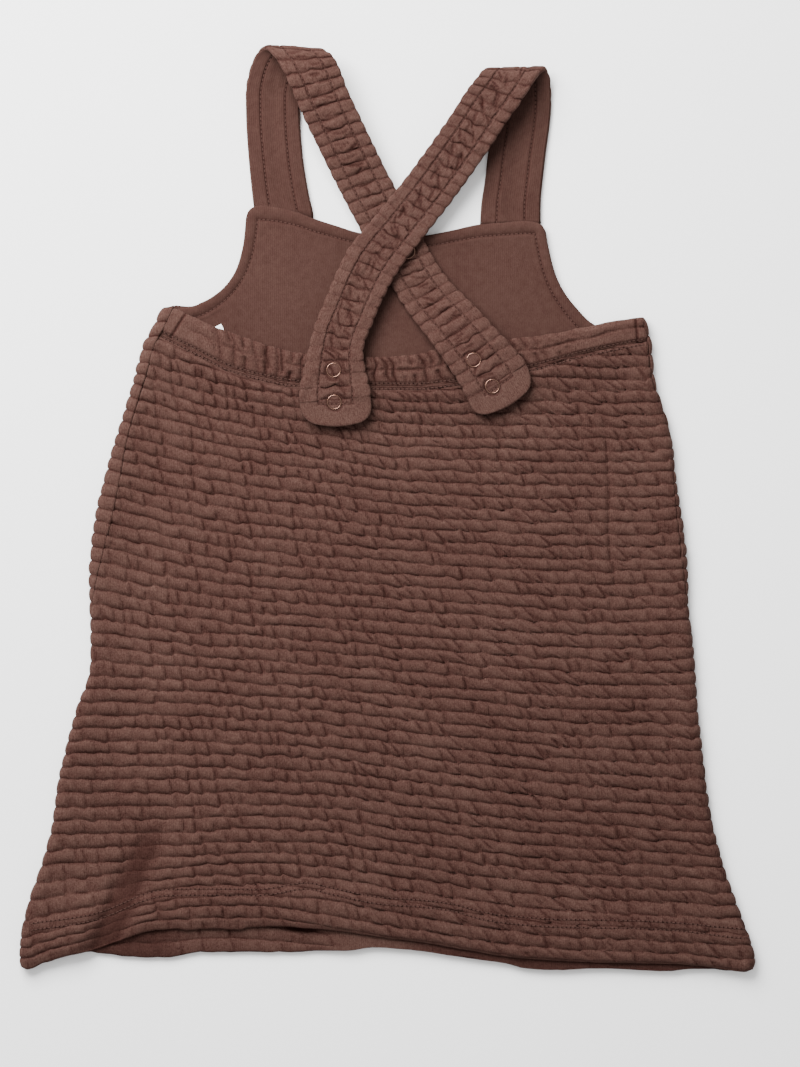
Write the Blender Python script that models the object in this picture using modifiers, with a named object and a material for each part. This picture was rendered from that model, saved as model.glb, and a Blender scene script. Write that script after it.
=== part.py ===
"""Child's pinafore dress in quilted jersey, laid flat on its front with the back uppermost.

Metres, +Z up.  X runs across the dress, Y from the hem to the straps, and the dress
rests on Z = 0, with the origin under the middle of its box.  Sizes below are millimetres
from the drawing's own zero near the middle; to_frame turns them into the part's metres.
"left" is the low-X side of the dress as it lies, "right" is the high-X side.
"""
import math

import bmesh
import bpy
import numpy as np
from mathutils import Matrix

for old in list(bpy.data.objects):
    bpy.data.objects.remove(old)
dress = bpy.data.collections.new("pinafore_dress")
bpy.context.scene.collection.children.link(dress)

METRES = 0.001
CENTRE = (0.1, -2.8)    # middle of the dress's box in the drawing

# ---- cloth ----------------------------------------------------------------------------
CLOTH = 2.6             # quilted cloth pressed flat
VALLEY = 1.2            # quilted cloth at a quilting line
CROWN = 3.1             # quilted cloth on top of a rib
JERSEY = 1.0            # plain jersey of the linings
SEAM_GAP = 0.3          # left between pieces that are sewn together or lie on each other
RIB_STEPS = 3           # rows of points to a rib
RIB_SHAPE = (0.0, 0.86, 0.94)       # rib height at those rows, the first is the quilting line

# ---- side folds of the skirt ----------------------------------------------------------
FOLD_RADIUS = 4.0       # outer radius of the fold at each side
INNER_RADIUS = FOLD_RADIUS - CLOTH
QUARTER = FOLD_RADIUS * math.pi / 2     # way along the cloth from the fold's edge to its top
FOLD_SLOPE = 30.0       # over this width the back panel sinks on to the front panel
CORNER_LIFT = 0.35      # extra lift where both the side fold and the casing raise the back
CORNER_PUFF = (-190.0, -262.0, 24.0, 34.0, 3.0)     # x, y, spread in x and y, height of a puffed corner
LAID_HEIGHT = CLOTH + SEAM_GAP          # underside of cloth that lies on the front panel
FOLD_HEIGHT = FOLD_RADIUS + INNER_RADIUS    # underside of cloth on top of a side fold

# The laid skirt at heights Y: x of each side's fold, and how far over the fold the side
# seam lies, measured along the cloth from the fold's edge.
SIDES_COLUMNS = ("y", "left_edge", "left_seam", "right_seam", "right_edge")
SIDES = (
    (124.5, -138.0, 8.5, 3.8, 156.8),
    (113.2, -143.6, 8.9, 4.0, 160.2),
    (100.8, -150.2, 8.4, 3.8, 163.2),
    (80.9, -155.6, 8.6, 3.0, 164.8),
    (59.8, -161.8, 8.0, 1.6, 171.0),
    (38.8, -168.6, 9.2, 1.4, 176.2),
    (20.8, -173.6, 11.2, 2.6, 178.0),
    (0.3, -178.8, 12.2, 4.2, 181.0),
    (-23.2, -182.3, 10.2, 5.0, 184.2),
    (-43.1, -183.6, 6.4, 3.8, 185.7),
    (-62.0, -183.2, 2.8, 1.8, 186.2),
    (-82.2, -182.6, 0.8, 0.5, 188.6),
    (-100.8, -183.2, 0.0, 0.0, 190.0),
    (-122.5, -190.6, 0.0, 0.0, 191.6),
    (-147.2, -197.6, 0.0, 0.0, 194.2),
    (-172.1, -203.2, 0.0, 0.0, 197.0),
    (-196.8, -206.6, 0.0, 0.0, 201.2),
    (-221.7, -213.4, 0.0, 0.0, 207.8),
    (-246.4, -221.8, 0.0, 0.0, 216.2),
    (-268.1, -226.0, 0.0, 0.0, 224.2),
    (-281.0, -226.6, 0.0, 0.0, 227.0),
    (-290.0, -226.0, 0.0, 0.0, 226.6),
)

# Quilting lines: height Y of a line at stations X, for lines numbered from the waist.
STATIONS = (-178.0, -131.5, -85.0, -38.5, 8.0, 54.5, 101.0, 147.5, 188.0)
QUILTING = (
    (3, (75.1, 61.4, 51.2, 45.0, 38.1, 36.9, 36.3, 35.8, 37.6)),
    (8, (33.8, 21.7, 14.0, 8.7, 2.8, 0.6, -0.9, -0.8, 1.5)),
    (14, (-15.8, -26.0, -33.2, -37.2, -40.6, -43.7, -46.2, -47.0, -45.3)),
    (20, (-67.9, -75.0, -79.0, -82.0, -85.9, -89.6, -92.7, -94.3, -93.6)),
    (26, (-120.0, -120.6, -123.1, -125.6, -130.5, -134.8, -139.0, -140.8, -141.8)),
    (32, (-167.7, -167.7, -168.3, -169.9, -175.8, -181.4, -186.3, -189.0, -192.0)),
    (38, (-218.6, -215.8, -212.8, -214.5, -221.0, -227.2, -232.4, -234.8, -236.6)),
    (42, (-253.9, -242.2, -239.2, -242.4, -250.8, -258.5, -264.6, -267.1, -269.0)),
)
START_HEIGHT = 150.0    # a height that every edge table reaches or passes near
CHORD_SLACK = 0.6       # a curved seam drawn with straight runs strays this far
SEAM_SLACK = 0.1        # a side seam's facets stray this far
LEAST_RIB = 0.75        # pitch of ribs squeezed under the casing
PUFFED_FROM, PUFFED_TO = 0.82, 1.18     # how unevenly the ribs are puffed up
HEM_LINE = 45           # number of the quilting line that is the hem's edge
TOP_LINE = -6           # number of the first line under the waist casing
SEAM_MEETS_EDGE = 24    # below this line the side seams run along the folds' edges
BACK_HEM = (            # x, y along the back panel's hem edge
    (-227.5, -284.6), (-222.6, -286.4), (-211.0, -281.4), (-196.5, -277.4), (-182.3, -274.0),
    (-164.9, -267.8), (-147.0, -262.4), (-128.0, -261.2), (-100.0, -261.2), (-68.2, -259.4),
    (-29.1, -262.3), (-2.5, -266.2), (23.6, -269.4), (51.5, -274.2), (84.9, -279.2),
    (137.6, -281.8), (178.6, -282.6), (204.0, -285.0), (221.0, -287.4), (227.5, -285.6),
)
FRONT_HEM = (           # x, y along the front panel's hem edge
    (-227.5, -282.2), (-216.0, -282.0), (-200.0, -276.4), (-186.0, -275.8), (-165.0, -277.6),
    (-138.0, -279.0), (-113.0, -275.8), (-50.0, -275.0), (-25.0, -274.4), (-6.8, -272.6),
    (13.0, -273.9), (52.7, -279.5), (72.5, -282.2), (84.0, -285.2), (102.0, -286.4),
    (132.0, -285.4), (172.0, -287.0), (190.0, -285.6), (205.0, -285.6), (216.0, -287.0),
    (227.5, -286.0),
)
HEM_DEPTH = 23.0        # cloth turned up inside
HEM_TURN = 1.5          # how far a turned-up hem raises what lies on it
HEM_VALLEY = 0.9        # less than that at a quilting line
HEM_RISE = 0.7          # how far the back's own turned-up hem raises its outside
HEM_STEP = 4.0          # width of the step at a turned-up hem's edge
HEM_LAP = 10.0          # what lies on it stays raised this far past it
HEM_EASE = 10.0         # and comes down over this width
HEM_EDGE = 0.4          # part of the full height kept at the hem's folded edge
FRONT_HEM_LINE = 41     # the front panel's ribs show again from this line to its hem

# ---- columns of points across the skirt -----------------------------------------------
SIDE_WAYS = (0.0, 3.2, QUARTER, 22.0)     # way over each side of the back panel
SIDE_STEP = 0.5         # least step between them where the seam pushes them in
BACK_MIDDLE = 9         # columns of the back panel between its two sides
LEFT_WRAP = (14.0, 8.0, 3.6, 0.0, -3.4, -QUARTER)       # way over the left fold, to the underside
RIGHT_WRAP = (6.0, 0.0, -3.4, -QUARTER)
WRAP_STEP = 0.45        # least step between them
SHOWS_FROM = 3.0        # the front panel's ribs begin this far under a fold's edge
FLAT_LEFT = (21.0,)     # depth in from the left edge of the front panel's flat columns
FLAT_RIGHT = (43.0, 35.0, 27.0, 12.0)
FLAT_MIDDLE = 14        # steps between them, those that run up into the bib

# ---- waist casing ---------------------------------------------------------------------
CASING_TOP = (          # x, y along its upper edge
    (-139.0, 126.4), (-132.4, 123.9), (-109.7, 113.2), (-96.1, 108.2), (-69.4, 99.4),
    (-53.3, 95.6), (-30.0, 93.8), (-8.7, 93.2), (15.0, 94.6), (33.0, 98.4), (55.0, 101.8),
    (75.0, 104.2), (96.7, 106.8), (122.1, 111.6), (147.6, 116.6), (165.0, 118.4),
)
CASING_STITCH = (       # x, y along the twin stitching that closes it
    (-150.0, 111.6), (-140.7, 108.0), (-123.4, 99.6), (-96.1, 86.2), (-75.0, 80.4),
    (-55.8, 77.2), (-8.7, 75.4), (19.2, 75.3), (33.5, 76.6), (60.0, 80.8), (88.0, 86.3),
    (122.1, 95.4), (153.8, 101.8), (166.0, 103.8),
)
CASING_COLUMNS = ("part", "thickness")      # part of the casing's height, thickness there
CASING_ROWS = (
    (0.0, 2.3), (0.22, 4.0), (0.5, 3.7), (0.78, 4.2), (0.94, 3.2), (1.0, 1.6),
)
GATHERS = 36            # folds drawn up by the elastic
GATHER_DEPTH = 0.9
GATHER_WANDER = 0.3     # how unevenly the gathers are spaced, part of their spacing
GATHER_SLANT = 0.048    # how far they lean
GATHERS_FROM = 0.035    # the casing is plain up to here, where the elastic is tacked
CASING_END = 0.4        # part of its fullness kept at its ends, and of a gather's depth in its seams
WAIST_SLOPE = 26.0      # below the casing the back panel sinks on to the front over this

# ---- bib ------------------------------------------------------------------------------
BIB_TOP = (             # x, y along its upper edge
    (-86.8, 180.6), (-84.6, 184.0), (-65.0, 182.2), (-46.0, 180.4), (-31.0, 175.4),
    (-16.3, 170.2), (2.0, 167.8), (21.7, 167.8), (38.0, 171.0), (54.0, 175.0),
    (75.0, 175.2), (94.6, 175.2), (98.0, 172.8),
)
LEFT_ARMHOLE = (        # x, y down its left edge to the side seam
    (-86.8, 180.6), (-88.7, 165.8), (-90.5, 156.6), (-93.6, 147.2), (-99.6, 137.9),
    (-109.6, 129.6), (-118.6, 125.4),
)
RIGHT_ARMHOLE = (       # x, y down its right edge
    (98.0, 172.8), (99.2, 165.8), (101.1, 156.6), (103.5, 147.2), (107.0, 138.4),
    (112.4, 129.6), (120.0, 120.6),
)
WAIST = (               # x, y of the front panel's upper edge beyond the bib
    (-139.0, 124.0), (-118.6, 125.0), (-60.0, 122.0), (60.0, 119.0), (112.4, 124.0), (120.0, 118.6),
    (128.3, 113.4), (135.5, 112.0), (143.0, 113.6), (151.0, 116.2), (160.0, 117.6),
)
WAIST_LINE = -4         # number that the front panel's waist takes among the quilting lines
BIB_ROWS = 9
LINING_INSET = 0.5      # the lining stops this far inside the front panel's edge
LINING_UNDER = 8.0      # how far the lining reaches under the waist casing
LINING_PLAIN = 1.2      # its thickness away from the edge
LINING_MIDDLE = 8       # steps across it between its two bands
LINING_ROWS = (0.3, 0.45, 0.6, 0.75, 0.88, 1.0)     # part of the armhole's length at each row
LINING_FOOT = (-121.0, 124.0)       # x of its ends under the casing
BAND_OFFSETS = (0.0, 3.3, 6.6, 8.6)     # across the topstitched band, its stitching is the third
BAND_HEIGHTS = (0.9, 1.8, 0.9, 1.2)

# ---- straps ---------------------------------------------------------------------------
# Sections along each strap, from the bib to the free end, at the face between its quilted
# side and its lining: centre x y z, width, turn of the section from X in degrees.
STRAP_COLUMNS = ("x", "y", "z", "width", "turn")
LEFT_STRAP = (
    (-65.4, 183.2, 2.55, 38.4, -2.0),
    (-66.0, 194.5, 2.55, 35.2, -1.0),
    (-69.3, 221.0, 2.55, 33.6, 0.0),
    (-70.6, 241.0, 2.55, 33.4, 0.0),
    (-70.8, 254.0, 3.0, 33.4, -1.0),
    (-67.8, 266.6, 5.2, 34.0, -4.0),
    (-62.4, 276.2, 8.6, 34.4, -5.0),
    (-57.6, 279.2, 12.4, 34.4, -2.0),
    (-52.4, 276.2, 15.6, 33.2, 6.0),
    (-48.0, 270.6, 16.6, 32.0, 15.0),
    (-44.2, 263.4, 16.4, 31.6, 22.0),
    (-39.8, 253.8, 15.6, 31.4, 25.0),
    (-26.8, 226.2, 12.0, 31.2, 25.5),
    (-12.6, 197.8, 8.0, 31.0, 26.5),
    (7.2, 161.6, 6.4, 31.0, 28.0),
    (17.6, 142.8, 6.2, 31.0, 30.5),
    (27.6, 128.4, 7.0, 32.2, 36.0),
    (41.2, 112.8, 10.4, 35.0, 38.0),
    (51.8, 99.6, 11.7, 37.0, 38.0),
    (62.0, 86.4, 11.6, 40.0, 38.0),
    (67.8, 77.4, 11.0, 42.0, 36.0),
    (72.2, 68.8, 10.6, 39.4, 32.0),
    (75.0, 64.2, 10.5, 29.0, 30.0),
)
RIGHT_STRAP = (
    (76.0, 176.4, 2.55, 38.4, 0.0),
    (76.8, 188.0, 2.55, 36.8, 0.0),
    (78.6, 203.0, 2.55, 35.8, 0.0),
    (80.6, 220.4, 2.55, 35.8, 0.0),
    (82.8, 236.0, 2.55, 35.8, 1.0),
    (84.2, 250.0, 3.2, 35.0, 3.0),
    (83.8, 261.4, 6.0, 34.6, 4.0),
    (80.8, 267.2, 10.0, 34.4, 1.0),
    (76.8, 265.4, 14.0, 33.2, -8.0),
    (72.2, 259.8, 16.4, 32.0, -18.0),
    (67.4, 254.4, 17.2, 31.0, -26.0),
    (62.2, 248.4, 17.0, 31.0, -32.0),
    (50.2, 230.0, 15.0, 31.0, -33.0),
    (27.4, 198.4, 12.6, 31.0, -34.0),
    (10.0, 176.2, 11.9, 31.0, -36.0),
    (-10.2, 149.8, 11.9, 33.0, -31.0),
    (-23.6, 120.8, 11.1, 32.4, -22.0),
    (-29.8, 104.4, 11.6, 32.6, -15.0),
    (-31.6, 92.4, 11.8, 35.0, -7.0),
    (-32.0, 80.0, 11.7, 40.4, -3.0),
    (-32.0, 70.6, 11.3, 44.0, -1.0),
    (-31.6, 63.2, 10.9, 44.0, 1.0),
    (-30.8, 56.4, 10.6, 36.0, 2.0),
    (-30.4, 51.4, 10.5, 22.0, 2.0),
)
STRAP_RIB = 7.7         # spacing of the ribs across a strap
STRAP_FLAT = 2.4        # quilted side where the strap lies on the surface below
STRAP_CROWN = 2.5
STRAP_VALLEY = 1.3
BORDER = 17.0           # plain border at a strap's free end
# Place across a strap, part of the rib height kept there: edges and two stitched lines.
STRAP_ACROSS = (
    (0.0, 0.45), (0.13, 1.0), (0.27, 0.55), (0.5, 1.0), (0.73, 0.55), (0.87, 1.0), (1.0, 0.45),
)
LINING_ACROSS = ((0.0, 0.9), (0.27, 0.75), (0.5, 1.1), (0.73, 0.75), (1.0, 0.9))
LOOSE_FROM, LOOSE_TO = 62.0, 84.0       # way along a strap over which it leaves the surface
LOOP_END = 108.0        # way along a strap past its loop
PLAIN_ROWS = 6          # rows along the stretch that lies face down
BORDER_THICKNESS = 1.8
BORDER_EASE = 4.0       # the ribs end over this width at the border

# ---- press studs and label ------------------------------------------------------------
STUD_DIAMETER = 9.5
STUD_WIRE = 1.1         # width of the ring
STUD_HEIGHT = 0.8
STUD_SIDES = 16
STUDS = (               # name, strap, way along it from its free end, way across from its middle
    ("press_stud_left_end_low", "right", 13.8, -0.8),
    ("press_stud_left_end_high", "right", 33.4, -1.0),
    ("press_stud_right_end_low", "left", 14.6, -3.6),
    ("press_stud_right_end_high", "left", 34.6, -3.9),
    ("press_stud_crossing", "left", 113.8, 3.5),
)
LABEL_CORNER = (-102.6, 113.6)      # the corner that looks out above the casing
LABEL_LENGTH = 20.0
LABEL_WIDTH = 8.0
LABEL_TURN = 206.0      # direction of its long side from X, degrees
LABEL_THICKNESS = 0.8

BROWN = (0.115, 0.056, 0.045, 1.0)
LINING_BROWN = (0.136, 0.068, 0.054, 1.0)
COPPER = (0.52, 0.33, 0.28, 1.0)
WHITE = (0.86, 0.86, 0.85, 1.0)


# ---- curves and walls -----------------------------------------------------------------
def to_frame(point):
    """A point of the drawing in the part's frame, in metres."""
    return [(point[0] - CENTRE[0]) * METRES, (point[1] - CENTRE[1]) * METRES, point[2] * METRES]


def smooth(points):
    """A smooth curve y(x) through points, never past them between two, straight beyond its ends."""
    xs = np.array([point[0] for point in points], float)
    ys = np.array([point[1] for point in points], float)
    chords = np.diff(ys) / np.diff(xs)
    turning = chords[1:] * chords[:-1] <= 0
    sums = np.where(turning, 1.0, chords[1:] + chords[:-1])
    inner_slopes = np.where(turning, 0.0, 2 * chords[1:] * chords[:-1] / sums)
    slopes = np.concatenate(([chords[0]], inner_slopes, [chords[-1]]))

    def value(x):
        i = int(np.clip(np.searchsorted(xs, x) - 1, 0, len(xs) - 2))
        width = xs[i + 1] - xs[i]
        t = (x - xs[i]) / width
        if t < 0:
            return ys[i] + slopes[i] * (x - xs[i])
        if t > 1:
            return ys[i + 1] + slopes[i + 1] * (x - xs[i + 1])
        rise = (3 - 2 * t) * t * t
        return (ys[i] * (1 - rise) + ys[i + 1] * rise
                + width * t * (1 - t) * (slopes[i] * (1 - t) - slopes[i + 1] * t))

    return value


def along(points):
    """A curve through points, taken by its length: place(way), the whole length and its ways."""
    points = np.array(points, float)
    steps = np.linalg.norm(np.diff(points, axis=0), axis=1)
    ways = np.concatenate(([0.0], np.cumsum(steps)))
    curves = [smooth(list(zip(ways, points[:, axis]))) for axis in range(points.shape[1])]
    return (lambda way: np.array([curve(way) for curve in curves])), ways[-1], ways


def ease(t):
    """From 0 to 1 with level ends."""
    t = min(1.0, max(0.0, t))
    return t * t * (3 - 2 * t)


def uneven(*numbers):
    """A fixed number from 0 to 1 that looks random, from whole numbers."""
    value = math.sin(sum((k + 1) * 12.9898 * number for k, number in enumerate(numbers))) * 43758.5453
    return value - math.floor(value)


def column(table, names, name):
    """The named column of a table."""
    place = names.index(name)
    return [row[place] for row in table]


def make_material(name, colour, roughness, metallic=0.0):
    material = bpy.data.materials.new(name)
    material.use_nodes = True
    shader = material.node_tree.nodes["Principled BSDF"]
    shader.inputs["Base Color"].default_value = colour
    shader.inputs["Roughness"].default_value = roughness
    shader.inputs["Metallic"].default_value = metallic
    material.diffuse_color = colour
    return material


def add_object(name, mesh, material):
    """Put a finished bmesh into the dress as a named object."""
    bmesh.ops.recalc_face_normals(mesh, faces=mesh.faces)
    data = bpy.data.meshes.new(name)
    mesh.to_mesh(data)
    mesh.free()
    data.materials.append(material)
    piece = bpy.data.objects.new(name, data)
    dress.objects.link(piece)
    return piece


class Wall:
    """A closed cloth wall between an outer and an inner grid of points, rows by columns.

    Seen from outside, rows run up and columns to the right.
    """

    def __init__(self, outer, inner):
        self.outer, self.inner = outer, inner
        self.rows, self.columns = len(outer), len(outer[0])
        self.mesh = bmesh.new()
        self.made = {}

    def face(self, *corners):
        """A face between corners given as (is it outside, row, column)."""
        for corner in corners:
            if corner not in self.made:
                outside, row, col = corner
                point = (self.outer if outside else self.inner)[row][col]
                self.made[corner] = self.mesh.verts.new(to_frame(point))
        self.mesh.faces.new([self.made[corner] for corner in corners])

    def quad(self, a, b, c, d):
        self.face(a, b, c)
        self.face(a, c, d)

    def cell(self, outside, row, next_row, col, next_col):
        corners = [(outside, row, col), (outside, row, next_col),
                   (outside, next_row, next_col), (outside, next_row, col)]
        self.quad(*(corners if outside else corners[::-1]))

    def close_cells(self, is_cloth):
        """Both faces with the same cells, and a rim wherever a cell has no neighbour."""
        steps = ((-1, 0), (0, 1), (1, 0), (0, -1))
        cells = {(row, col) for row in range(self.rows - 1) for col in range(self.columns - 1)
                 if is_cloth(row, col)}
        for row, col in sorted(cells):
            self.cell(True, row, row + 1, col, col + 1)
            self.cell(False, row, row + 1, col, col + 1)
            corners = ((row, col), (row, col + 1), (row + 1, col + 1), (row + 1, col))
            for k, (up, right) in enumerate(steps):
                if (row + up, col + right) not in cells:
                    start, stop = corners[k], corners[(k + 1) % 4]
                    self.quad((True, *stop), (True, *start), (False, *start), (False, *stop))

    def close_plain(self, inner_rows, inner_columns):
        """An inner face of fewer rows and columns, with rims that fan out to the outer face."""
        for row in range(self.rows - 1):
            for col in range(self.columns - 1):
                self.cell(True, row, row + 1, col, col + 1)
        for row, next_row in zip(inner_rows, inner_rows[1:]):
            for col, next_col in zip(inner_columns, inner_columns[1:]):
                self.cell(False, row, next_row, col, next_col)
        top, right = self.rows - 1, self.columns - 1
        self.rim([right - col for col in reversed(inner_columns)], lambda k: (0, right - k))
        self.rim(inner_columns, lambda k: (top, k))
        self.rim(inner_rows, lambda k: (k, 0))
        self.rim([top - row for row in reversed(inner_rows)], lambda k: (top - k, right))

    def rim(self, inner_run, place):
        """Join a run of inner edge points to all the outer points beside them."""
        for start, stop in zip(inner_run, inner_run[1:]):
            turn = max((start + stop) // 2, start + (stop == start + 1))
            for k in range(start, stop):
                foot = start if k < turn else stop
                self.face((True, *place(k)), (False, *place(foot)), (True, *place(k + 1)))
            self.face((False, *place(start)), (False, *place(stop)), (True, *place(turn)))


def make_cut_wall(name, outer, inner, material, is_cloth=lambda row, col: True):
    wall = Wall(outer, inner)
    wall.close_cells(is_cloth)
    return add_object(name, wall.mesh, material)


def make_ribbed_wall(name, outer, inner, material, inner_rows, inner_columns):
    wall = Wall(outer, inner)
    wall.close_plain(inner_rows, inner_columns)
    return add_object(name, wall.mesh, material)


# ---- the laid-out skirt ---------------------------------------------------------------
class Side:
    """One side of the laid skirt: its fold's edge x(y), its seam, and which way is inward."""

    def __init__(self, name, inward):
        heights = column(SIDES, SIDES_COLUMNS, "y")
        self.edge, self.seam = [
            smooth(sorted(zip(heights, column(SIDES, SIDES_COLUMNS, name + "_" + what))))
            for what in ("edge", "seam")]
        self.inward = inward

    def settle(self, line, way):
        """Where a line y(x) meets the place a given way over the cloth from the edge: x and y."""
        x = self.edge(START_HEIGHT)
        for _ in range(12):
            x = self.edge(line(x)) + self.inward * way_to_depth(way)
        return x, line(x)

    def seam_way(self, line):
        """How far over the fold the side seam lies where a line crosses it."""
        way = 0.0
        for _ in range(4):
            way = self.seam(self.settle(line, way)[1])
        return way

    def depth(self, x, y):
        return (x - self.edge(y)) * self.inward

    def on_fold(self, y, way, above):
        """A point on the fold, above its inner face."""
        turn = way / FOLD_RADIUS
        radius = INNER_RADIUS + above
        x = self.edge(y) + self.inward * (FOLD_RADIUS - radius * math.cos(turn))
        return x, y, FOLD_RADIUS + radius * math.sin(turn)


def depth_to_way(depth):
    """Way along the cloth from a fold's outer edge, for a depth in from that edge."""
    if depth < FOLD_RADIUS:
        return FOLD_RADIUS * math.acos(1 - max(0.0, depth) / FOLD_RADIUS)
    return QUARTER + depth - FOLD_RADIUS


def way_to_depth(way):
    if abs(way) < QUARTER:
        return FOLD_RADIUS * (1 - math.cos(way / FOLD_RADIUS))
    return FOLD_RADIUS + abs(way) - QUARTER


left_side, right_side = Side("left", 1), Side("right", -1)
back_hem, front_hem = smooth(BACK_HEM), smooth(FRONT_HEM)
casing_top, casing_stitch = smooth(CASING_TOP), smooth(CASING_STITCH)
waist, bib_top = smooth(WAIST), smooth(BIB_TOP)
quilting_lines = [(number, smooth(list(zip(STATIONS, heights)))) for number, heights in QUILTING]


def line_height(number, x, hem):
    """Height Y of a numbered quilting line at x; line HEM_LINE is the given hem edge."""
    known = [(line, curve(x)) for line, curve in quilting_lines] + [(HEM_LINE, hem(x))]
    return smooth(known)(number)


def back_line(number):
    """A quilting line y(x) of the back panel, kept below the casing's stitching."""
    squeezed = LEAST_RIB * (number - TOP_LINE) + SEAM_GAP + CHORD_SLACK
    return lambda x: min(line_height(number, x, back_hem), casing_stitch(x) - squeezed)


def front_line(number):
    """A line y(x) of the front panel: above the third quilting line it fans out to the waist."""
    third = QUILTING[0][0]
    if number >= third:
        return lambda x: line_height(number, x, front_hem)
    part = (number - WAIST_LINE) / (third - WAIST_LINE)
    return lambda x: waist(x) * (1 - part) + line_height(third, x, front_hem) * part


def back_lift(x, y):
    """Height of the back panel's underside where it is past the side folds."""
    depth = min(left_side.depth(x, y), right_side.depth(x, y))
    beside = 1 - ease((depth - FOLD_RADIUS) / FOLD_SLOPE)
    below = 1 - ease((casing_stitch(x) - y) / WAIST_SLOPE)
    high, low = max(beside, below), min(beside, below)
    raised = high + CORNER_LIFT * low * (1 - high)
    over_hem = HEM_TURN * (1 - ease((y - front_hem(x) - HEM_DEPTH - HEM_LAP) / HEM_EASE))
    puff_x, puff_y = (x - CORNER_PUFF[0]) / CORNER_PUFF[2], (y - CORNER_PUFF[1]) / CORNER_PUFF[3]
    puff = CORNER_PUFF[4] * math.exp(-puff_x ** 2 - puff_y ** 2)
    return LAID_HEIGHT + (FOLD_HEIGHT - LAID_HEIGHT) * raised + (over_hem + puff) * (1 - beside)


def rib_height(step, valley, crown, part=1.0):
    return valley + (crown - valley) * RIB_SHAPE[step % RIB_STEPS] * part


# ---- pieces ---------------------------------------------------------------------------
def back_places(line):
    """Places across the back panel where a line crosses it: side or None, way, x, y."""
    marks = []
    for side in (left_side, right_side):
        first = side.seam_way(line) + SEAM_GAP / 2 + SEAM_SLACK
        ways = [max(way, first + SIDE_STEP * k) for k, way in enumerate(SIDE_WAYS)]
        marks.append([(side, way, *side.settle(line, way)) for way in ways])
    left, right = marks
    middle = []
    for k in range(1, BACK_MIDDLE + 1):
        part = k / (BACK_MIDDLE + 1)
        x = left[-1][2] * (1 - part) + right[-1][2] * part
        middle.append((None, QUARTER, x, line(x)))
    return left + middle + right[::-1]


def make_back_panel(material):
    """Skirt back, quilted across, from the casing to its hem."""
    outer, inner = [], []
    rows = (HEM_LINE - TOP_LINE) * RIB_STEPS
    for step in range(rows, -1, -1):
        outer_row, inner_row = [], []
        for col, (side, way, x, y) in enumerate(back_places(back_line(TOP_LINE + step / RIB_STEPS))):
            in_hem = 1 - ease((y - back_hem(x) - HEM_DEPTH) / HEM_STEP)
            puffed = PUFFED_FROM + (PUFFED_TO - PUFFED_FROM) * uneven(step // RIB_STEPS, col)
            if step == rows:
                in_hem, puffed = HEM_EDGE, HEM_EDGE
            above = rib_height(step, VALLEY, CROWN, puffed) + HEM_RISE * in_hem
            if way < QUARTER:
                outer_row.append(side.on_fold(y, way, min(above, CROWN)))
                inner_row.append(side.on_fold(y, way, 0.0))
            else:
                low = back_lift(x, y)
                outer_row.append((x, y, low + above))
                inner_row.append((x, y, low))
        outer.append(outer_row)
        inner.append(inner_row)
    seam_ends = (HEM_LINE - SEAM_MEETS_EDGE) * RIB_STEPS
    inner_rows = list(range(0, seam_ends, 2 * RIB_STEPS)) + list(range(seam_ends, rows + 1, RIB_STEPS))
    return make_ribbed_wall("back_panel", outer, inner, material, inner_rows, list(range(len(outer[0]))))


def front_rows():
    """Numbers of the front panel's rows: close where its ribs show, wide where they don't."""
    numbers = [WAIST_LINE + k / 2 for k in range((SEAM_MEETS_EDGE - WAIST_LINE) * 2)]
    numbers += list(range(SEAM_MEETS_EDGE, FRONT_HEM_LINE, 2))
    numbers += [FRONT_HEM_LINE + k / 2 for k in range((HEM_LINE - FRONT_HEM_LINE) * 2 + 1)]
    return numbers


def front_wrap(side, ways, line, crest):
    """Points of the front panel on a side fold, from its seam down: outer and inner."""
    last = side.seam_way(line) - SEAM_GAP / 2 - SEAM_SLACK
    points = []
    for k, way in enumerate(ways):
        way = min(way, last - WRAP_STEP * k)
        x, y = side.settle(line, way)
        showing = ease((way + SHOWS_FROM) / SHOWS_FROM)
        above = CLOTH + showing * (VALLEY + (CROWN - VALLEY) * crest - CLOTH)
        if abs(way) <= QUARTER:
            points.append((side.on_fold(y, way, above), side.on_fold(y, way, 0.0)))
        else:
            points.append(((x, y, FOLD_HEIGHT + above), (x, y, FOLD_HEIGHT)))
    return points


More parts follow.
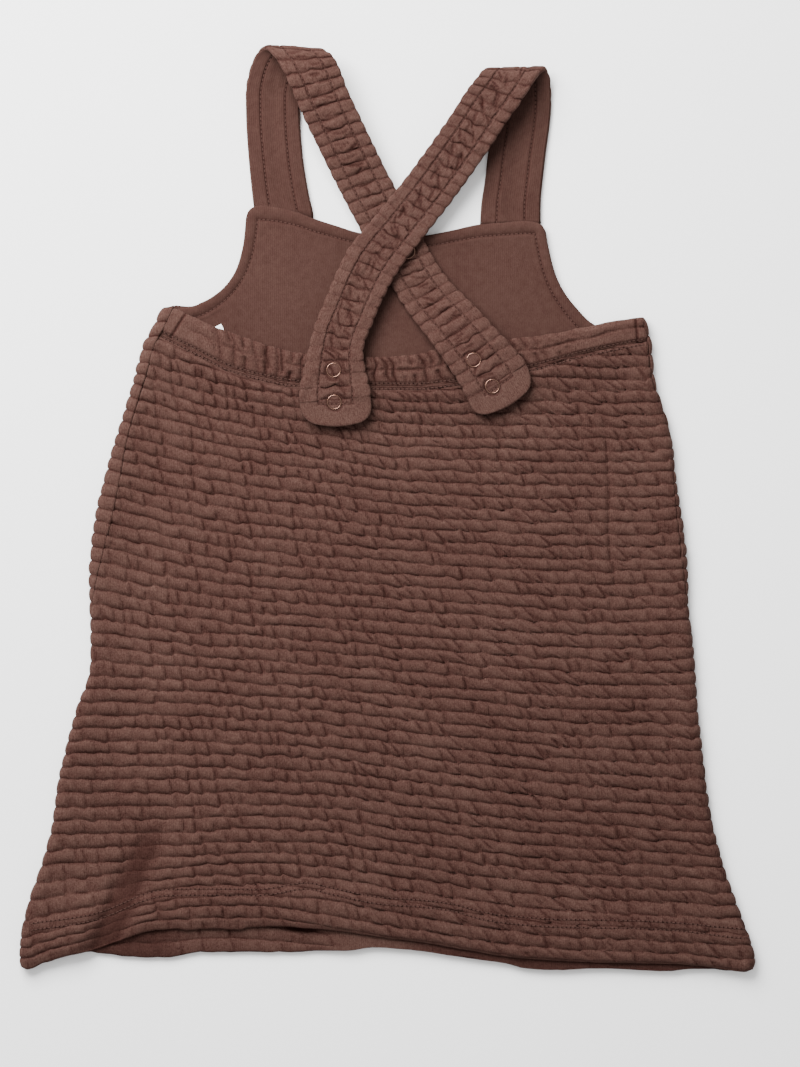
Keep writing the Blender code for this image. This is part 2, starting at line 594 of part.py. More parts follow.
def make_front_panel(material):
    """Skirt front and bib cut in one, its left side folded up and over to the side seam."""
    outer, inner = [], []
    for number in front_rows():
        crest = 0.0 if number == int(number) else 1.0
        line = front_line(number)
        flat = []
        for side, depths in ((left_side, FLAT_LEFT), (right_side, FLAT_RIGHT)):
            flat.append([side.settle(line, QUARTER + depth - FOLD_RADIUS)[0] for depth in depths])
        start, stop = flat[0][-1], flat[1][0]
        middle = [start + (stop - start) * k / FLAT_MIDDLE for k in range(1, FLAT_MIDDLE)]
        points = front_wrap(left_side, LEFT_WRAP, line, crest)
        for x in flat[0] + middle + flat[1]:
            y = line(x)
            turned = ease((HEM_DEPTH + front_hem(x) - y) / HEM_STEP)
            points.append(((x, y, 0.0), (x, y, CLOTH + turned * (HEM_TURN - HEM_VALLEY * (1 - crest)))))
        points += front_wrap(right_side, RIGHT_WRAP, line, crest)[::-1]
        outer.append([point for point, _ in points])
        inner.append([point for _, point in points])
    first = len(LEFT_WRAP) + len(FLAT_LEFT) - 1
    last = first + FLAT_MIDDLE
    left_arm = smooth(sorted((y, x) for x, y in LEFT_ARMHOLE))
    right_arm = smooth(sorted((y, x) for x, y in RIGHT_ARMHOLE))
    skirt_top = outer[0]
    for row in range(1, BIB_ROWS + 1):
        part = row / BIB_ROWS
        points = []
        for col in range(len(skirt_top)):
            share = (min(max(col, first), last) - first) / (last - first)
            x = 0.0
            for _ in range(6):
                y = waist(x) + (bib_top(x) - waist(x)) * part
                x = left_arm(y) * (1 - share) + right_arm(y) * share
            points.append((x, waist(x) + (bib_top(x) - waist(x)) * part))
        outer.insert(0, [(x, y, 0.0) for x, y in points])
        inner.insert(0, [(x, y, CLOTH) for x, y in points])
    return make_cut_wall("front_panel", outer, inner, material,
                         is_cloth=lambda row, col: first <= col < last or row >= BIB_ROWS)


def make_bib_lining(material):
    """Plain jersey lining of the bib with a topstitched band along its edges."""
    sides = []
    for points, sign in ((LEFT_ARMHOLE, 1), (RIGHT_ARMHOLE, -1)):
        place, length, _ = along(points)
        sides.append((place, length, sign))
    across_heights = BAND_HEIGHTS + (LINING_PLAIN,) * (LINING_MIDDLE - 1) + BAND_HEIGHTS[::-1]
    steps = list(zip([offset / sides[0][1] for offset in BAND_OFFSETS], BAND_HEIGHTS))
    steps += [(part, LINING_PLAIN) for part in LINING_ROWS]
    outer, inner = [], []

    def band_points(place, length, sign, part):
        """Points across the band at a part of the armhole's length, from its edge inward."""
        way = part * length
        forward = place(way + 0.5) - place(way - 0.5)
        forward /= np.linalg.norm(forward)
        inward = np.array((-forward[1], forward[0])) * sign
        return [place(way) + inward * (LINING_INSET + offset) for offset in BAND_OFFSETS]

    for part, row_height in steps:
        left, right = [band_points(*side, part) for side in sides]
        start, stop = left[-1], right[-1]
        points = list(left)
        for k in range(1, LINING_MIDDLE):
            blend = k / LINING_MIDDLE
            point = start * (1 - blend) + stop * blend
            level = bib_top(start[0]) * (1 - blend) + bib_top(stop[0]) * blend
            points.append(point + np.array((0.0, (bib_top(point[0]) - level) * (1 - part))))
        points += right[::-1]
        inset = LINING_INSET if part == 0 else 0.0
        low_spot = min(BAND_HEIGHTS)
        outer_row, inner_row = [], []
        for (x, y), height in zip(points, across_heights):
            top = low_spot if low_spot in (height, row_height) else max(height, row_height)
            outer_row.append((x, y - inset, LAID_HEIGHT + top))
            inner_row.append((x, y - inset, LAID_HEIGHT))
        outer.insert(0, outer_row)
        inner.insert(0, inner_row)
    foot = []
    for x, y, _ in outer[0]:
        x = min(max(x, LINING_FOOT[0]), LINING_FOOT[1])
        foot.append((x, min(casing_top(x) - LINING_UNDER, y - 1.0)))
    outer.insert(0, [(x, y, LAID_HEIGHT + JERSEY) for x, y in foot])
    inner.insert(0, [(x, y, LAID_HEIGHT) for x, y in foot])
    return make_cut_wall("bib_lining", outer, inner, material)


def gather_places():
    """Places of the gathers along the casing, from 0 to 1: a crease between two shoulders each."""
    places = [(0.0, 0.0), (0.012, 0.35), (0.024, 0.35)]
    beside = 0.25 / GATHERS
    for k in range(GATHERS):
        wander = GATHER_WANDER * (uneven(k, 5) - 0.5)
        crease = GATHERS_FROM + (k + 0.5 + wander) / GATHERS * (1 - GATHERS_FROM)
        places += [(crease - beside, 0.0), (crease, 0.6 + 0.4 * uneven(k, 7)), (crease + beside, 0.05)]
    return [place for place in places if place[0] < 0.99] + [(1.0, 0.0)]


def make_waist_casing(material):
    """Elastic casing along the back waist, gathered, its seams 0.3 mm from the panels."""
    thickest = max(column(CASING_ROWS, CASING_COLUMNS, "thickness"))
    outer, inner = [], []
    for part, thickness in CASING_ROWS:
        def line(x):
            return casing_stitch(x) * (1 - part) + casing_top(x) * part

        ends = []
        for side in (left_side, right_side):
            seam = side.seam_way(line) + SEAM_GAP / 2 + SEAM_SLACK
            ends.append(side.settle(line, seam)[0])
        outer_row, inner_row = [], []
        for place, crease in gather_places():
            from_end = min(place, 1 - place)
            slanted = place + GATHER_SLANT * (part - 0.5) * from_end
            x = ends[0] + (ends[1] - ends[0]) * slanted
            y = line(x)
            full = min(1.0, CASING_END + from_end / GATHERS_FROM)
            deep = GATHER_DEPTH * crease * (CASING_END + (1 - CASING_END) * thickness / thickest)
            above = CLOTH + (thickness - CLOTH) * full - deep
            depth = right_side.depth(x, y)
            if depth < FOLD_RADIUS:
                outer_row.append(right_side.on_fold(y, depth_to_way(depth), above))
                inner_row.append(right_side.on_fold(y, depth_to_way(depth), 0.0))
            else:
                outer_row.append((x, y, FOLD_HEIGHT + above))
                inner_row.append((x, y, FOLD_HEIGHT))
        outer.append(outer_row)
        inner.append(inner_row)
    columns = len(outer[0])
    on_turn = columns - 5
    inner_columns = list(range(0, on_turn, 3)) + list(range(on_turn, columns))
    return make_ribbed_wall("waist_casing", outer, inner, material, list(range(len(outer))), inner_columns)


class Strap:
    """A strap's middle face: points and directions at any way along it from the bib."""

    def __init__(self, table):
        spots = list(zip(*(column(table, STRAP_COLUMNS, axis) for axis in "xyz")))
        self.place, self.length, ways = along(spots)
        self.width, self.turn = [smooth(list(zip(ways, column(table, STRAP_COLUMNS, name))))
                                 for name in ("width", "turn")]

    def frame(self, way):
        """Centre, direction across, and direction out of the quilted side."""
        forward = self.place(way + 0.5) - self.place(way - 0.5)
        turn = math.radians(self.turn(way))
        across = np.array((math.cos(turn), math.sin(turn), 0.0))
        outward = np.cross(forward, across)
        return self.place(way), across, outward / np.linalg.norm(outward)

    def point(self, way, part, height):
        """A point at a part of the width, at a height above the middle face."""
        centre, across, outward = self.frame(way)
        point = centre + across * self.width(way) * (part - 0.5) + outward * height
        if way == 0.0:
            point[1] = bib_top(point[0]) + SEAM_GAP + CHORD_SLACK
        return point

    def rows(self):
        """Ways along the strap of its rows and the rib step of each, None where it lies face down."""
        ways = [(LOOSE_FROM * k / PLAIN_ROWS, None) for k in range(PLAIN_ROWS)]
        ribs = int((self.length - LOOSE_FROM) / STRAP_RIB)
        pitch = (self.length - LOOSE_FROM) / ribs
        ways += [(LOOSE_FROM + pitch * k / RIB_STEPS, k % RIB_STEPS) for k in range(ribs * RIB_STEPS)]
        return ways + [(self.length, 0)]

    def thickness(self, way, step, keep):
        """Thickness of the quilted side at a row and a place across it."""
        if step is None:
            return STRAP_FLAT
        bordered = ease((way - (self.length - BORDER)) / BORDER_EASE)
        ribbed = rib_height(step, STRAP_VALLEY, STRAP_CROWN, keep)
        ribbed = ribbed * (1 - bordered) + BORDER_THICKNESS * bordered
        loose = ease((way - LOOSE_FROM) / (LOOSE_TO - LOOSE_FROM))
        return STRAP_FLAT * (1 - loose) + ribbed * loose


def make_strap(name, strap, material, lining_material):
    """The quilted side and the lining of one strap, two walls back to back."""
    rows = strap.rows()
    half_gap = SEAM_GAP / 2
    outer = [[strap.point(way, part, half_gap + strap.thickness(way, step, keep))
              for part, keep in STRAP_ACROSS] for way, step in rows]
    inner = [[strap.point(way, part, half_gap) for part, _ in STRAP_ACROSS] for way, step in rows]
    kept = [k for k, (way, step) in enumerate(rows) if step in (None, 0) or way < LOOP_END]
    make_ribbed_wall(name, outer, inner, material, kept, [0, len(STRAP_ACROSS) - 1])
    outer = [[strap.point(rows[k][0], part, -half_gap - JERSEY * high) for part, high in LINING_ACROSS]
             for k in kept]
    inner = [[strap.point(rows[k][0], part, -half_gap) for part, _ in LINING_ACROSS] for k in kept]
    make_ribbed_wall(name + "_lining", outer, inner, lining_material,
                     list(range(len(kept))), [0, len(LINING_ACROSS) - 1])


def make_press_stud(name, strap, from_end, off_middle, material):
    """A turned ring, the face of a press stud, on a strap's quilted side."""
    way = strap.length - from_end
    seat = max(strap.thickness(way + beside, step, 1.0)
               for beside in (-2, 0, 2) for step in range(RIB_STEPS))
    centre = strap.point(way, 0.5 + off_middle / strap.width(way), SEAM_GAP / 2 + seat + SEAM_GAP)
    _, across, outward = strap.frame(way)
    radius = STUD_DIAMETER / 2
    profile = ((radius - STUD_WIRE * 0.25, STUD_HEIGHT * 0.85), (radius, 0.0),
               (radius - STUD_WIRE, 0.0), (radius - STUD_WIRE * 0.7, STUD_HEIGHT))
    mesh = bmesh.new()
    corners = [mesh.verts.new((out * METRES, 0.0, up * METRES)) for out, up in profile]
    for start, stop in zip(corners, corners[1:] + corners[:1]):
        mesh.edges.new((start, stop))
    ring = add_object(name, mesh, material)
    screw = ring.modifiers.new("turned", "SCREW")
    screw.steps = screw.render_steps = STUD_SIDES
    screw.use_merge_vertices = True
    screw.merge_threshold = 0.01 * METRES
    screw.use_smooth_shade = True
    basis = Matrix((across, np.cross(outward, across), outward)).transposed()
    ring.location = to_frame(centre)
    ring.rotation_euler = basis.to_euler()
    return ring


def make_care_label(material):
    """Blank label sewn into the left side seam, one corner above the casing."""
    turn = math.radians(LABEL_TURN)
    length = np.array((math.cos(turn), math.sin(turn))) * LABEL_LENGTH
    width = np.array((-math.sin(turn), math.cos(turn))) * LABEL_WIDTH
    centre = np.array(LABEL_CORNER) + (length + width) / 2
    bpy.ops.mesh.primitive_cube_add(size=1.0)
    label = bpy.context.object
    label.name = label.data.name = "care_label"
    label.dimensions = (LABEL_LENGTH * METRES, LABEL_WIDTH * METRES, LABEL_THICKNESS * METRES)
    label.rotation_euler = (0.0, 0.0, turn)
    height = LAID_HEIGHT + LINING_PLAIN + SEAM_GAP + LABEL_THICKNESS / 2
    label.location = to_frame((*centre, height))
    label.data.materials.append(material)
    for collection in label.users_collection:
        collection.objects.unlink(label)
    dress.objects.link(label)
    return label


quilt = make_material("quilted_jersey", BROWN, 0.95)
jersey = make_material("lining_jersey", LINING_BROWN, 0.92)
copper = make_material("stud_metal", COPPER, 0.35, metallic=1.0)
label_cloth = make_material("label_satin", WHITE, 0.6)

make_front_panel(quilt)
make_back_panel(quilt)
make_waist_casing(quilt)
make_bib_lining(jersey)
straps = {"left": Strap(LEFT_STRAP), "right": Strap(RIGHT_STRAP)}
for strap_name, strap in straps.items():
    make_strap("strap_" + strap_name, strap, quilt, jersey)
for stud_name, strap_name, from_end, off_middle in STUDS:
    make_press_stud(stud_name, straps[strap_name], from_end, off_middle, copper)
make_care_label(label_cloth)
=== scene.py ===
"""Child's pinafore dress in quilted jersey, laid flat on its front with the back uppermost.

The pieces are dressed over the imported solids: X runs across the dress, Y from the hem to the
straps, and it lies on Z = 0.  Tables and sums below are in millimetres of the maker's
drawing; to_frame turns them into the frame's metres.  "left" is the low-X side as it lies.
"""
import math

import bpy
import numpy as np
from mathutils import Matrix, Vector
from mathutils.bvhtree import BVHTree


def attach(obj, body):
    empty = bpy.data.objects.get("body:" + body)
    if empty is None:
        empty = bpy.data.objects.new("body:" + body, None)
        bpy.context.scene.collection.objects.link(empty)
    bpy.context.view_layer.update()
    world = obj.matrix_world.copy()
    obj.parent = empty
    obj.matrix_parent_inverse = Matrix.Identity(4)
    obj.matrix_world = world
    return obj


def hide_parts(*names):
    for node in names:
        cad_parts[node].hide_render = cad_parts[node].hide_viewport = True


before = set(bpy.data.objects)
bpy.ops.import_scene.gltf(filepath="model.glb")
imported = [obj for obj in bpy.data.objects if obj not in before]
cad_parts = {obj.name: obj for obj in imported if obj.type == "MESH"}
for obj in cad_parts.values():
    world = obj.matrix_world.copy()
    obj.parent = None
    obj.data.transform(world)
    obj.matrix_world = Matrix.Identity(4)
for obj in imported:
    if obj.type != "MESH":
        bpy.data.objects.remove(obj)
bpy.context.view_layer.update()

bl_info = {
    "name": "Pinafore dress",
    "version": (1, 0, 0),
    "blender": (4, 5, 0),
    "location": "View3D > Sidebar > Pinafore",
    "description": "Builds a child's quilted pinafore dress, laid flat, piece by piece",
    "category": "Object",
}

METRES = 0.001
FAR = 1e4  # further off than anything of the dress
CELLS = 64  # the soft unevenness repeats after so many cells
SETTLING, SEAM_SETTLING, ARMHOLE_SETTLING = 7, 3, 12  # rounds in which places on curves are found
CENTRE = np.array((0.1, -2.8, 0.0))  # middle of the dress's box in the drawing

# ---- cloth, as the solids have it ----
CLOTH = 2.6  # quilted cloth pressed flat
JERSEY = 1.0  # plain jersey of the linings
SEAM_GAP = 0.3  # left between pieces that are sewn together or lie on each other
RIB_PHASES = (0.0, 0.08, 0.25, 0.5, 0.75, 0.92)  # rows of points over one rib
HIDDEN_PHASES = (0.0, 0.1, 0.3, 0.5, 0.7, 0.9)  # and where the cloth is hidden
RIB_ROUNDNESS = (2.1, 0.68)  # powers that give a rib its pillow section
BASE_STEP = 0.5  # ribs between the rows that settle on the side folds

# ---- side folds of the skirt ----
FOLD_RADIUS = 4.0  # outer radius of the fold at each side
INNER_RADIUS = FOLD_RADIUS - CLOTH
QUARTER = FOLD_RADIUS * math.pi / 2  # way along the cloth from the fold's edge to its top
FOLD_SLOPE = 30.0  # over this width the back panel sinks on to the front panel
CORNER_LIFT = 0.35  # extra lift where both the side fold and the casing raise the back
CORNER_PUFF = (-190.0, -262.0)  # x, y of the middle of a puffed corner
CORNER_PUFF_SPREAD = (26.0, 36.0)
CORNER_PUFF_HEIGHT = 3.6
PUFF_PRESSED = 0.8  # part of a trough's depth that it takes from the puffed corner
LAID_HEIGHT = CLOTH + SEAM_GAP  # underside of cloth that lies on the front panel
FOLD_HEIGHT = FOLD_RADIUS + INNER_RADIUS  # underside of cloth on top of a side fold

# The laid skirt at heights Y: x of each side's fold, and how far over the fold the side
# seam lies, measured along the cloth from the fold's edge.
SIDES_COLUMNS = ("y", "left_edge", "left_seam", "right_seam", "right_edge")
SIDES = (
    (124.5, -138.0, 8.5, 3.8, 156.8),
    (113.2, -143.6, 8.9, 4.0, 160.2),
    (100.8, -150.2, 8.4, 3.8, 163.2),
    (80.9, -155.6, 8.6, 3.0, 164.8),
    (59.8, -161.8, 8.0, 1.6, 171.0),
    (38.8, -168.6, 9.2, 1.4, 176.2),
    (20.8, -173.6, 11.2, 2.6, 178.0),
    (0.3, -178.8, 12.2, 4.2, 181.0),
    (-23.2, -182.3, 10.2, 5.0, 184.2),
    (-43.1, -183.6, 6.4, 3.8, 185.7),
    (-62.0, -183.2, 2.8, 1.8, 186.2),
    (-82.2, -182.6, 0.8, 0.5, 188.6),
    (-100.8, -183.2, 0.0, 0.0, 190.0),
    (-122.5, -190.6, 0.0, 0.0, 191.6),
    (-147.2, -197.6, 0.0, 0.0, 194.2),
    (-172.1, -203.2, 0.0, 0.0, 197.0),
    (-196.8, -206.6, 0.0, 0.0, 201.2),
    (-221.7, -213.4, 0.0, 0.0, 207.8),
    (-246.4, -221.8, 0.0, 0.0, 216.2),
    (-268.1, -226.0, 0.0, 0.0, 224.2),
    (-281.0, -226.6, 0.0, 0.0, 227.0),
    (-290.0, -226.0, 0.0, 0.0, 226.6),
)

# Quilting lines: height Y of a line at stations X, for lines numbered from the waist.
STATIONS = (-178.0, -131.5, -85.0, -38.5, 8.0, 54.5, 101.0, 147.5, 188.0)
QUILTING = (
    (3, (75.1, 61.4, 51.2, 45.0, 38.1, 36.9, 36.3, 35.8, 37.6)),
    (8, (33.8, 21.7, 14.0, 8.7, 2.8, 0.6, -0.9, -0.8, 1.5)),
    (14, (-15.8, -26.0, -33.2, -37.2, -40.6, -43.7, -46.2, -47.0, -45.3)),
    (20, (-67.9, -75.0, -79.0, -82.0, -85.9, -89.6, -92.7, -94.3, -93.6)),
    (26, (-120.0, -120.6, -123.1, -125.6, -130.5, -134.8, -139.0, -140.8, -141.8)),
    (32, (-167.7, -167.7, -168.3, -169.9, -175.8, -181.4, -186.3, -189.0, -192.0)),
    (38, (-218.6, -215.8, -212.8, -214.5, -221.0, -227.2, -232.4, -234.8, -236.6)),
    (42, (-253.9, -242.2, -239.2, -242.4, -250.8, -258.5, -264.6, -267.1, -269.0)),
)
SIDE_SEAM_OPEN = 0.06  # how far each panel's edge keeps from the side seam's line
LEAST_RIB = 0.75  # pitch of ribs squeezed under the casing
TOP_OPEN = 0.05  # how far the back's top edge keeps below the casing
RIB_PITCH = 7.6
WHOLE = 1e-6  # slack that tells a whole rib number from the next point's
HEM_LINE = 45  # number of the quilting line that is the back's hem edge
FRONT_HEM_LINE = 46  # and of the one that is the front's
LAST_LINE = 42  # the last quilting line of the table; the ribs under it spread to the hem
HEM_RIBS = (  # part of the way from that line to the hem, ribs there on the left and right
    (0.0, 0.0, 0.0), (1 / 3, 0.3, 0.5), (2 / 3, 0.64, 0.93), (1.0, 1.0, 1.0),
)
HEM_RIBS_CHANGE = (-110.0, 0.0)  # x from which they turn from the left's to the right's
TOP_LINE = -6  # number of the first line under the waist casing
BACK_HEM = (  # x, y along the back panel's hem edge
    (-227.5, -284.6), (-222.6, -286.4), (-211.0, -281.4), (-196.5, -277.4), (-182.3, -274.0),
    (-164.9, -267.8), (-147.0, -262.4), (-128.0, -261.2), (-100.0, -261.2), (-68.2, -259.4),
    (-29.1, -262.3), (-2.5, -266.2), (23.6, -269.4), (51.5, -274.2), (84.9, -279.2),
    (137.6, -281.8), (178.6, -282.6), (204.0, -285.0), (221.0, -287.4), (227.5, -285.6),
)
FRONT_HEM = (  # x, y along the front panel's hem edge
    (-227.5, -282.2), (-216.0, -282.0), (-200.0, -276.4), (-186.0, -275.8), (-165.0, -277.6),
    (-138.0, -279.0), (-113.0, -275.8), (-50.0, -275.0), (-25.0, -274.4), (-6.8, -272.6),
    (13.0, -273.9), (52.7, -279.5), (72.5, -282.2), (84.0, -285.2), (102.0, -286.4),
    (132.0, -285.4), (172.0, -287.0), (190.0, -285.6), (205.0, -285.6), (216.0, -287.0),
    (227.5, -286.0),
)
HEM_STITCH = (  # x, y along the middle of the back hem's twin stitching
    (-226.0, -260.5), (-215.0, -258.6), (-200.0, -256.6), (-181.5, -253.3), (-172.0, -250.4),
    (-161.0, -245.8), (-152.0, -241.9), (-135.8, -238.3), (-103.5, -237.9), (-81.5, -238.2),
    (-66.0, -236.6), (-58.0, -234.9), (-49.9, -234.2), (-34.1, -237.4), (-2.5, -243.4),
    (21.3, -245.0), (40.0, -247.4), (61.4, -253.0), (82.7, -255.6), (104.0, -257.1),
    (132.5, -257.6), (159.0, -258.2), (186.0, -259.9), (206.0, -262.2), (226.0, -264.0),
)
HEM_TWIN = (  # x, gap between the twin rows there
    (-226.0, 4.2), (-100.0, 3.7), (20.0, 4.2), (104.0, 4.8), (170.0, 4.8), (226.0, 6.0),
)
HEM_TAPER = 1.4  # ribs over which the back's hem thins towards its edge
HEM_GAP = (-53.0, -260.5)  # x, y of the middle of the opening between the two hems
HEM_GAP_REACH = (15.0, 3.4)  # its half width and half depth
HEM_GAP_SUNK = 1.7  # how far the front's cloth sinks there
HEM_GAP_LIFT = 1.2  # how far the back's hem stands up over it
HEM_LIFT_BELOW = -238.0  # height Y under which the back's hem rises towards it
HEM_PRESSED_FROM, HEM_PRESSED_TO = -46.0, -22.0  # x over which the front's hem turns flat
STRIP_SHADE = 0.5  # shade of the front's hem where it barely shows under the back's
STRIP_PUCKER = 1.2  # how far the hem between the ribs stays down where it isn't flat
STRIP_DARK_LEFT = (-125.0, -137.0)  # x over which that shade comes in to the left
STRIP_DARK_RIGHT = (0.0, 50.0)  # and to the right
HEM_DEPTH = 23.0  # cloth turned up inside
HEM_TURN = 1.5  # how far a turned-up hem raises what lies on it
HEM_RISE = 0.7  # how far the back's own turned-up hem raises its outside
HEM_STEP = 4.0  # width of the step at a turned-up hem's edge
HEM_LAP = 10.0  # what lies on it stays raised this far past it
HEM_EASE = 10.0  # and comes down over this width
HEM_EDGE = 1.1  # thickness left at the back hem's folded edge
HEM_RIDGE = 3.4  # spread of the flat ridge along the twin stitching
RIDGE_HEIGHT = 0.62  # height of that ridge, in parts of a rib
RIDGE_SHARE = 0.5  # share it has in the cloth's height
TWIN_DEPTH = 0.6  # how far the twin rows sink into the hem
TWIN_WIDTH = 0.8
TWIN_SHADE = 0.34
FOOT_DEPTH, FOOT_WIDTH = 0.4, 0.9  # of the casing's lower row, in the back panel
LEAST_CLOTH = 0.6  # the hem and its stitches leave this much cloth

# ---- columns of points across the skirt ----
SIDE_REACH = 22.0  # way over each side of the back panel that follows the fold
SIDE_COLUMNS = 15
BACK_MIDDLE = 276  # columns of the back panel between its two sides
BACK_UNDERSIDE = 6  # one column of its underside for so many of its outside
WRAP_COLUMNS = 14  # columns of the front panel on each side fold
SHOWS_FROM = 3.0  # the front panel's ribs begin this far under a fold's edge
FRONT_FLAT = (5, 104, 12)  # columns left of, under and right of the bib
BIB_FROM_LEFT, BIB_FROM_RIGHT = 21.0, 43.0  # depth in from each side where the bib begins
FRONT_ROWS_FROM = 37  # from this line on the front panel's rows are close, they show at the hem
EDGE_VALLEY = 2.3  # thickness at a quilting line where the cloth is stretched round a fold
GROOVE = 0.7  # depth of a quilting line in the pressed underside

# ---- creases of the ribs ----
SOFT_SHADE = 0.3  # shade up to here only dulls the cloth, above it a line shows
CREASE_DEPTH = 0.56  # part of a rib's height that its sharpest crease takes away
CELL_ROUNDING = 0.6  # and that the hollow beside it takes
LEAST_RELIEF = 0.08  # part of a rib's height that is always left
CREASE_SPACING = 6.8  # usual distance between creases at the waist
SPACING_TO_HEM = (150.0, 2.6)  # way down the skirt over which it grows, and by how much
SPACING_TO_RIGHT = (60.0, 160.0, 0.6)  # from x, to x, growth
SPACING_TO_LEFT = (-110.0, -170.0, 1.4)
SPACING_DRAWN = (0.45, 1.6)  # least and most part of the usual distance
LEAST_SPACING = 3.8
FIRST_CREASE = (1.0, 8.0)  # least and most way from the side to the first one
CREASE_LEAN = 2.0  # how far a crease runs to the right over its rib, at the left side
LEAN_GROWS = ((-50.0, 80.0, 4.0), (-130.0, -30.0, 2.0))  # from x, to x, growth
FAINTER_LEFT = (-110.0, -170.0, 0.25)  # from x, to x, part of its depth that a crease loses
CREASE_DRAWN = {  # least and most of what is drawn for each crease
    "lean": (0.2, 1.5),  # in parts of the usual lean
    "bend": (0.4, 0.95),  # power by which it bends on its way down
    "depth": (0.2, 1.0),
    "start": (-0.6, 0.4),  # part of the rib's height where it begins
    "stop": (0.85, 1.6),  # and where it ends
    "reach": (1.1, 2.1),  # width of its flanks
}
CREASE_RUNS_ON = 0.55  # share of creases that run on from the rib above
JOIN_REACH = 4.5  # if one of them ends this close by
CREASE_AT_TOP, CREASE_GROWS = 0.62, 0.5  # part of its depth at the rib's top, and what it gains below
CREASE_FADE = 0.22  # part of the rib's height over which it dies away
CREASE_BESIDE = 0.42  # columns between a crease's line and its two banks
CREASE_COLUMNS = 3.2  # least number of columns between two lines
LINE_CLEARANCE = 0.08  # part of the rib's height over which columns go back to their places
CREASE_SHARPNESS = 1.5  # power of a crease's flanks
FAINT_HOLLOW = 0.45  # part of a hollow that the faintest crease has
# Hollows beside a crease: depth, how many times narrower than the cell, power, share at the rib's
# top and what it gains below.
HOLLOW_PAST = (1.15, 1.1, 1.4, 0.55, 0.6)
HOLLOW_BEFORE = (0.7, 4.0, 2, 0.3, 0.9)
CELL_WIDTHS = (4.0, 14.0)  # narrowest and widest cell that counts between two creases
PRESSED_LINES = (  # x y, x y and strength of lines where a fold was pressed across the ribs
    (-120.6, 47.0, -119.6, 14.0, 0.85),
    (135.0, 40.0, 139.6, -50.0, 0.8),
    (-41.0, -10.0, -44.0, -40.0, 0.7),
)
PRESSED_STRAY = 1.3  # how far a crease may be beside the pressed line it follows
PRESSED_LEAN = (0.3, 2.4)
PRESSED_DEPTH = (0.55, 1.0)
SAG = 1.7  # how far a quilting line sags under a full puff
USUAL_PUFF = 8.0  # width of a full puff
VALLEY_WIDTH = 0.105  # part of a rib's height over which its quilting line shows
VALLEY_SHADE, VALLEY_UNEVEN = 0.62, 0.34
VALLEY_FILL = 0.4  # how far a faint quilting line is filled
CREASE_SHADE = 0.95
SQUEEZED = (0.6, 5.6, 0.12)  # pitch of ribs with no relief, what it takes to full relief, least relief
HEM_SETTLES = 3  # lines over which the sag ends at the hem

# Layers of soft unevenness: amount, width of a cell, cells from one line to the next, seed.
LINE_STRAY = ((0.75, 6.5, 3.7, 1), (0.35, 2.7, 7.1, 5), (0.5, 42.0, 1.9, 6))
RIB_FULLNESS = ((0.16, 17.0, 2.3, 2), (0.1, 5.0, 1.3, 4))
VALLEY_LAYER = (9.0, 5.1, 3)  # of the quilting lines' faintness, without its amount

# Soft troughs pressed across the skirt's ribs: from x y to x y, half width, depth.
TROUGHS = (
    (-150.0, -214.0, -178.0, -274.0, 8.0, 3.3),
    (-163.0, -243.0, -172.0, -268.0, 6.5, 1.6),
    (-120.6, 45.0, -119.6, 15.0, 3.0, 0.5),
    (135.0, 46.0, 139.6, -56.0, 2.6, 0.6),
    (4.0, 62.0, 10.0, 20.0, 6.0, 0.5),
    (-60.0, -30.0, -30.0, -120.0, 9.0, 0.45),
    (60.0, -120.0, 95.0, -215.0, 10.0, 0.5),
    (-110.0, -80.0, -128.0, -170.0, 9.0, 0.4),
    (120.0, -90.0, 150.0, -180.0, 11.0, 0.4),
)
TROUGH_LIMIT = 0.66  # part of the cloth's height that a trough can take
TROUGH_SHADE, TROUGH_FULL = 0.6, 2.8  # shade of a trough of that depth

# ---- waist casing ----
CASING_TOP = (  # x, y along its upper edge
    (-139.0, 126.4), (-132.4, 123.9), (-109.7, 113.2), (-96.1, 108.2), (-69.4, 99.4),
    (-53.3, 95.6), (-30.0, 93.8), (-8.7, 93.2), (15.0, 94.6), (33.0, 98.4), (55.0, 101.8),
    (75.0, 104.2), (96.7, 106.8), (122.1, 111.6), (147.6, 116.6), (165.0, 118.4),
)
CASING_STITCH = (  # x, y along the twin stitching that closes it
    (-150.0, 111.6), (-140.7, 108.0), (-123.4, 99.6), (-96.1, 86.2), (-75.0, 80.4),
    (-55.8, 77.2), (-8.7, 75.4), (19.2, 75.3), (33.5, 76.6), (60.0, 80.8), (88.0, 86.3),
    (122.1, 95.4), (153.8, 101.8), (166.0, 103.8),
)
CASING_SECTION = (  # part of the casing's height, thickness there
    (0.0, 1.7), (0.05, 2.3), (0.2, 3.7), (0.48, 4.0), (0.8, 4.1), (0.94, 3.0), (1.0, 1.5),
)
CASING_ROWS, CASING_COLUMNS = 34, 560
CASING_HEIGHT = 17.0  # usual height; the gathers are drawn for it
CASING_FINE = 9  # columns at its right end that its inner face keeps
TACKS = ((-124.9, 119.2, -133.6, 105.2), (153.6, 117.6, 155.2, 102.4))  # ends of the tacked elastic
TACK_DEPTH, TACK_WIDTH = 1.1, 0.8
GATHERS = (24.0, 262.0)  # way along the casing of the first and last crease
GATHER_STEP = (3.4, 9.0)  # least and most way from one to the next
GATHER_THROUGH = 0.3  # share of creases that run through the casing's whole height
GATHER_PIVOT = 8.0  # height about which they lean
GATHER_LINE = 9.3  # height of the faint crease along its middle
CASING_SOFTNESS = ((0.22, 15.0, 0.1, 43), (0.12, 4.0, 0.25, 45))  # layers, as in LINE_STRAY
WAIST_SLOPE = 26.0  # below the casing the back panel sinks on to the front over this

